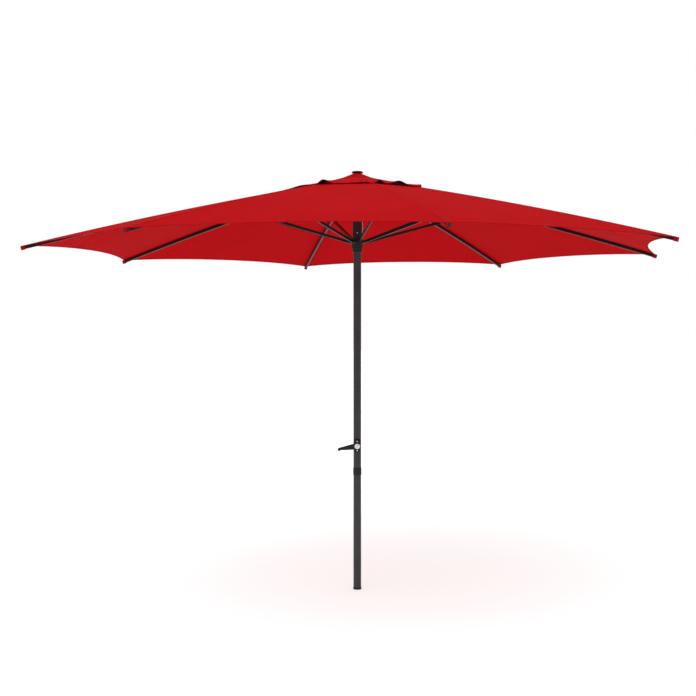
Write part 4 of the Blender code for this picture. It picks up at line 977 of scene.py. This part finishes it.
VENT_RADIUS = 0.455
VENT_LIFT = 0.0048          # over the ribs' tops at its corners, clear of the main seams
VENT_NECK = 0.0183
VENT_NECK_HEIGHT = HUB_HEIGHT + 0.0486
VENT_PEAK = 0.0165          # height of the bell at its middle, over the cone
VENT_PEAK_REACH = 0.070
VENT_PEAK_POWER = 2.2
VENT_SAGITTA = 0.012
VENT_FLARE = 0.004          # the hem's lift in the middle of every panel
VENT_WAVES = [              # on top of it, in each panel: share of its width, height and half-width
    [(0.30, 0.020, 0.16), (0.68, 0.016, 0.13)], [(0.50, 0.022, 0.20)],
    [(0.25, 0.018, 0.13), (0.66, 0.022, 0.17)], [(0.55, 0.024, 0.18)],
    [(0.50, 0.010, 0.25)], [(0.13, 0.030, 0.10), (0.84, 0.008, 0.10)],
    [(0.13, 0.024, 0.09), (0.57, 0.034, 0.15)], [(0.10, 0.020, 0.10), (0.62, 0.022, 0.18)],
]
CROWN_RADIUS = 0.085        # a doubled disc at the neck
CROWN_LAP = 0.02            # by which it covers the sheets' ends
CROWN_GAP = 0.0004
CROWN_RINGS, CROWN_STEPS = 20, 97


def vent_wave(angle, number):
    """How far the hem stands up, at an angle from rib number: a parabola across each panel, and
    bell curves h * exp(-((share - middle) / half-width) ** 2) faded out at the ribs."""
    lift = 4 * VENT_FLARE * (angle / SECTOR % 1) * (1 - angle / SECTOR % 1)
    for panel, share in ((number - 1, angle / SECTOR), (number - 2, angle / SECTOR + 1)):
        fade = np.clip(12 * share * (1 - share), 0, 1) * (share >= 0) * (share <= 1)
        for middle, height, half in VENT_WAVES[panel % RIBS]:
            lift = lift + fade * height * np.exp(-((share - middle) / half) ** 2)
    return lift


def vent_height(radius, angle, number=1):
    """A shallow cone with a bell h * exp(-(radius / reach) ** power) at its middle, straight
    across from rib to rib further out, whose hem stands up in waves between its corners."""
    corner = rib_height(VENT_RADIUS) + RIB_DEPTH / 2 + VENT_LIFT
    peak = VENT_PEAK * math.exp(-(VENT_NECK / VENT_PEAK_REACH) ** VENT_PEAK_POWER)
    slope = (VENT_NECK_HEIGHT - corner - peak) / (VENT_RADIUS - VENT_NECK)
    flat = np.minimum(radius / HOLE_RADIUS, 1)
    span = radius + flat * (along_rib(radius, angle) - radius)
    bow = (radius / VENT_RADIUS) ** 4 * vent_wave(angle, number)
    bell = VENT_PEAK * np.exp(-(radius / VENT_PEAK_REACH) ** VENT_PEAK_POWER)
    return corner + slope * (VENT_RADIUS - span) + bell + bow


vent_hem = hem_reach(gore_angles, VENT_RADIUS, VENT_SAGITTA)
vent_start = CROWN_RADIUS - CROWN_LAP
vent_shares = np.linspace(0, 1, VENT_ROWS)[:, None]
vent_radius = vent_start + vent_shares * (vent_hem - vent_start)
vent_angle = np.broadcast_to(gore_angles, vent_radius.shape)
vent_uv = panel_uv(vent_radius, vent_angle)
vent_seam_reach = np.linspace(CROWN_RADIUS - CROWN_LAP / 2, VENT_RADIUS - SEAM_INSET, 24)
vent_hem_along = np.concatenate([[0], np.cumsum(np.hypot(
    np.diff(vent_hem * np.cos(gore_angles)), np.diff(vent_hem * np.sin(gore_angles))))])
# Near-black cloth for the vent panels' undersides: painted shade, standing in for the dark under the vent
# cap.
vent_underside_painted_shade = polyester("vent_underside_painted_shade", "0b0909", "080707")

for number in range(1, RIBS + 1):
    body = f"rib_{number}"
    waved = functools.partial(vent_height, number=number)
    points = on_canopy(vent_radius, vent_angle, waved(vent_radius, vent_angle), number)
    flap = cloth_piece(f"vent_panel_{number}", points, vent_uv, body, "vent_cap")
    # The inner side of each vent panel takes the near-black cloth: painted shade under the cap.
    flap.data.materials.append(vent_underside_painted_shade)
    flap.modifiers["cloth_thickness"].material_offset = 1
    seam = facing_out(sewn_strip(f"vent_seam_{number}", vent_seam_reach, 0 * vent_seam_reach, seam_across,
                                 seam_up, waved, number, seam_across, vent_seam_reach))
    hem = facing_out(sewn_strip(f"vent_hem_{number}", vent_hem, gore_angles, VENT_HEM_SHARE * hem_in,
                                hem_up, waved, number, hem_in, vent_hem_along, inward=True))
    fitted(seam, body, "canopy_cloth", red_seam)
    fitted(hem, body, "canopy_cloth", red_hem)
    for piece in (flap, seam, hem):
        folding(piece)

# The crown is a round patch sewn over the tops of the vent's seams. It is gripped under the
# finial, so it stays with the mast when the ribs fold.
crown_radius, crown_angle = np.meshgrid(
    np.linspace(VENT_NECK, CROWN_RADIUS, CROWN_RINGS),
    np.linspace(-HALF, 2 * math.pi - HALF, CROWN_STEPS), indexing="ij",
)
crown_height = vent_height(crown_radius, (crown_angle + HALF) % SECTOR - HALF) + CLOTH + CROWN_GAP
crown_points = on_canopy(crown_radius, crown_angle, crown_height, 1)
crown_uv = np.stack([crown_points[..., 0], crown_points[..., 1]], axis=2)
crown = cloth_piece("vent_crown", crown_points, crown_uv, "upper_mast")
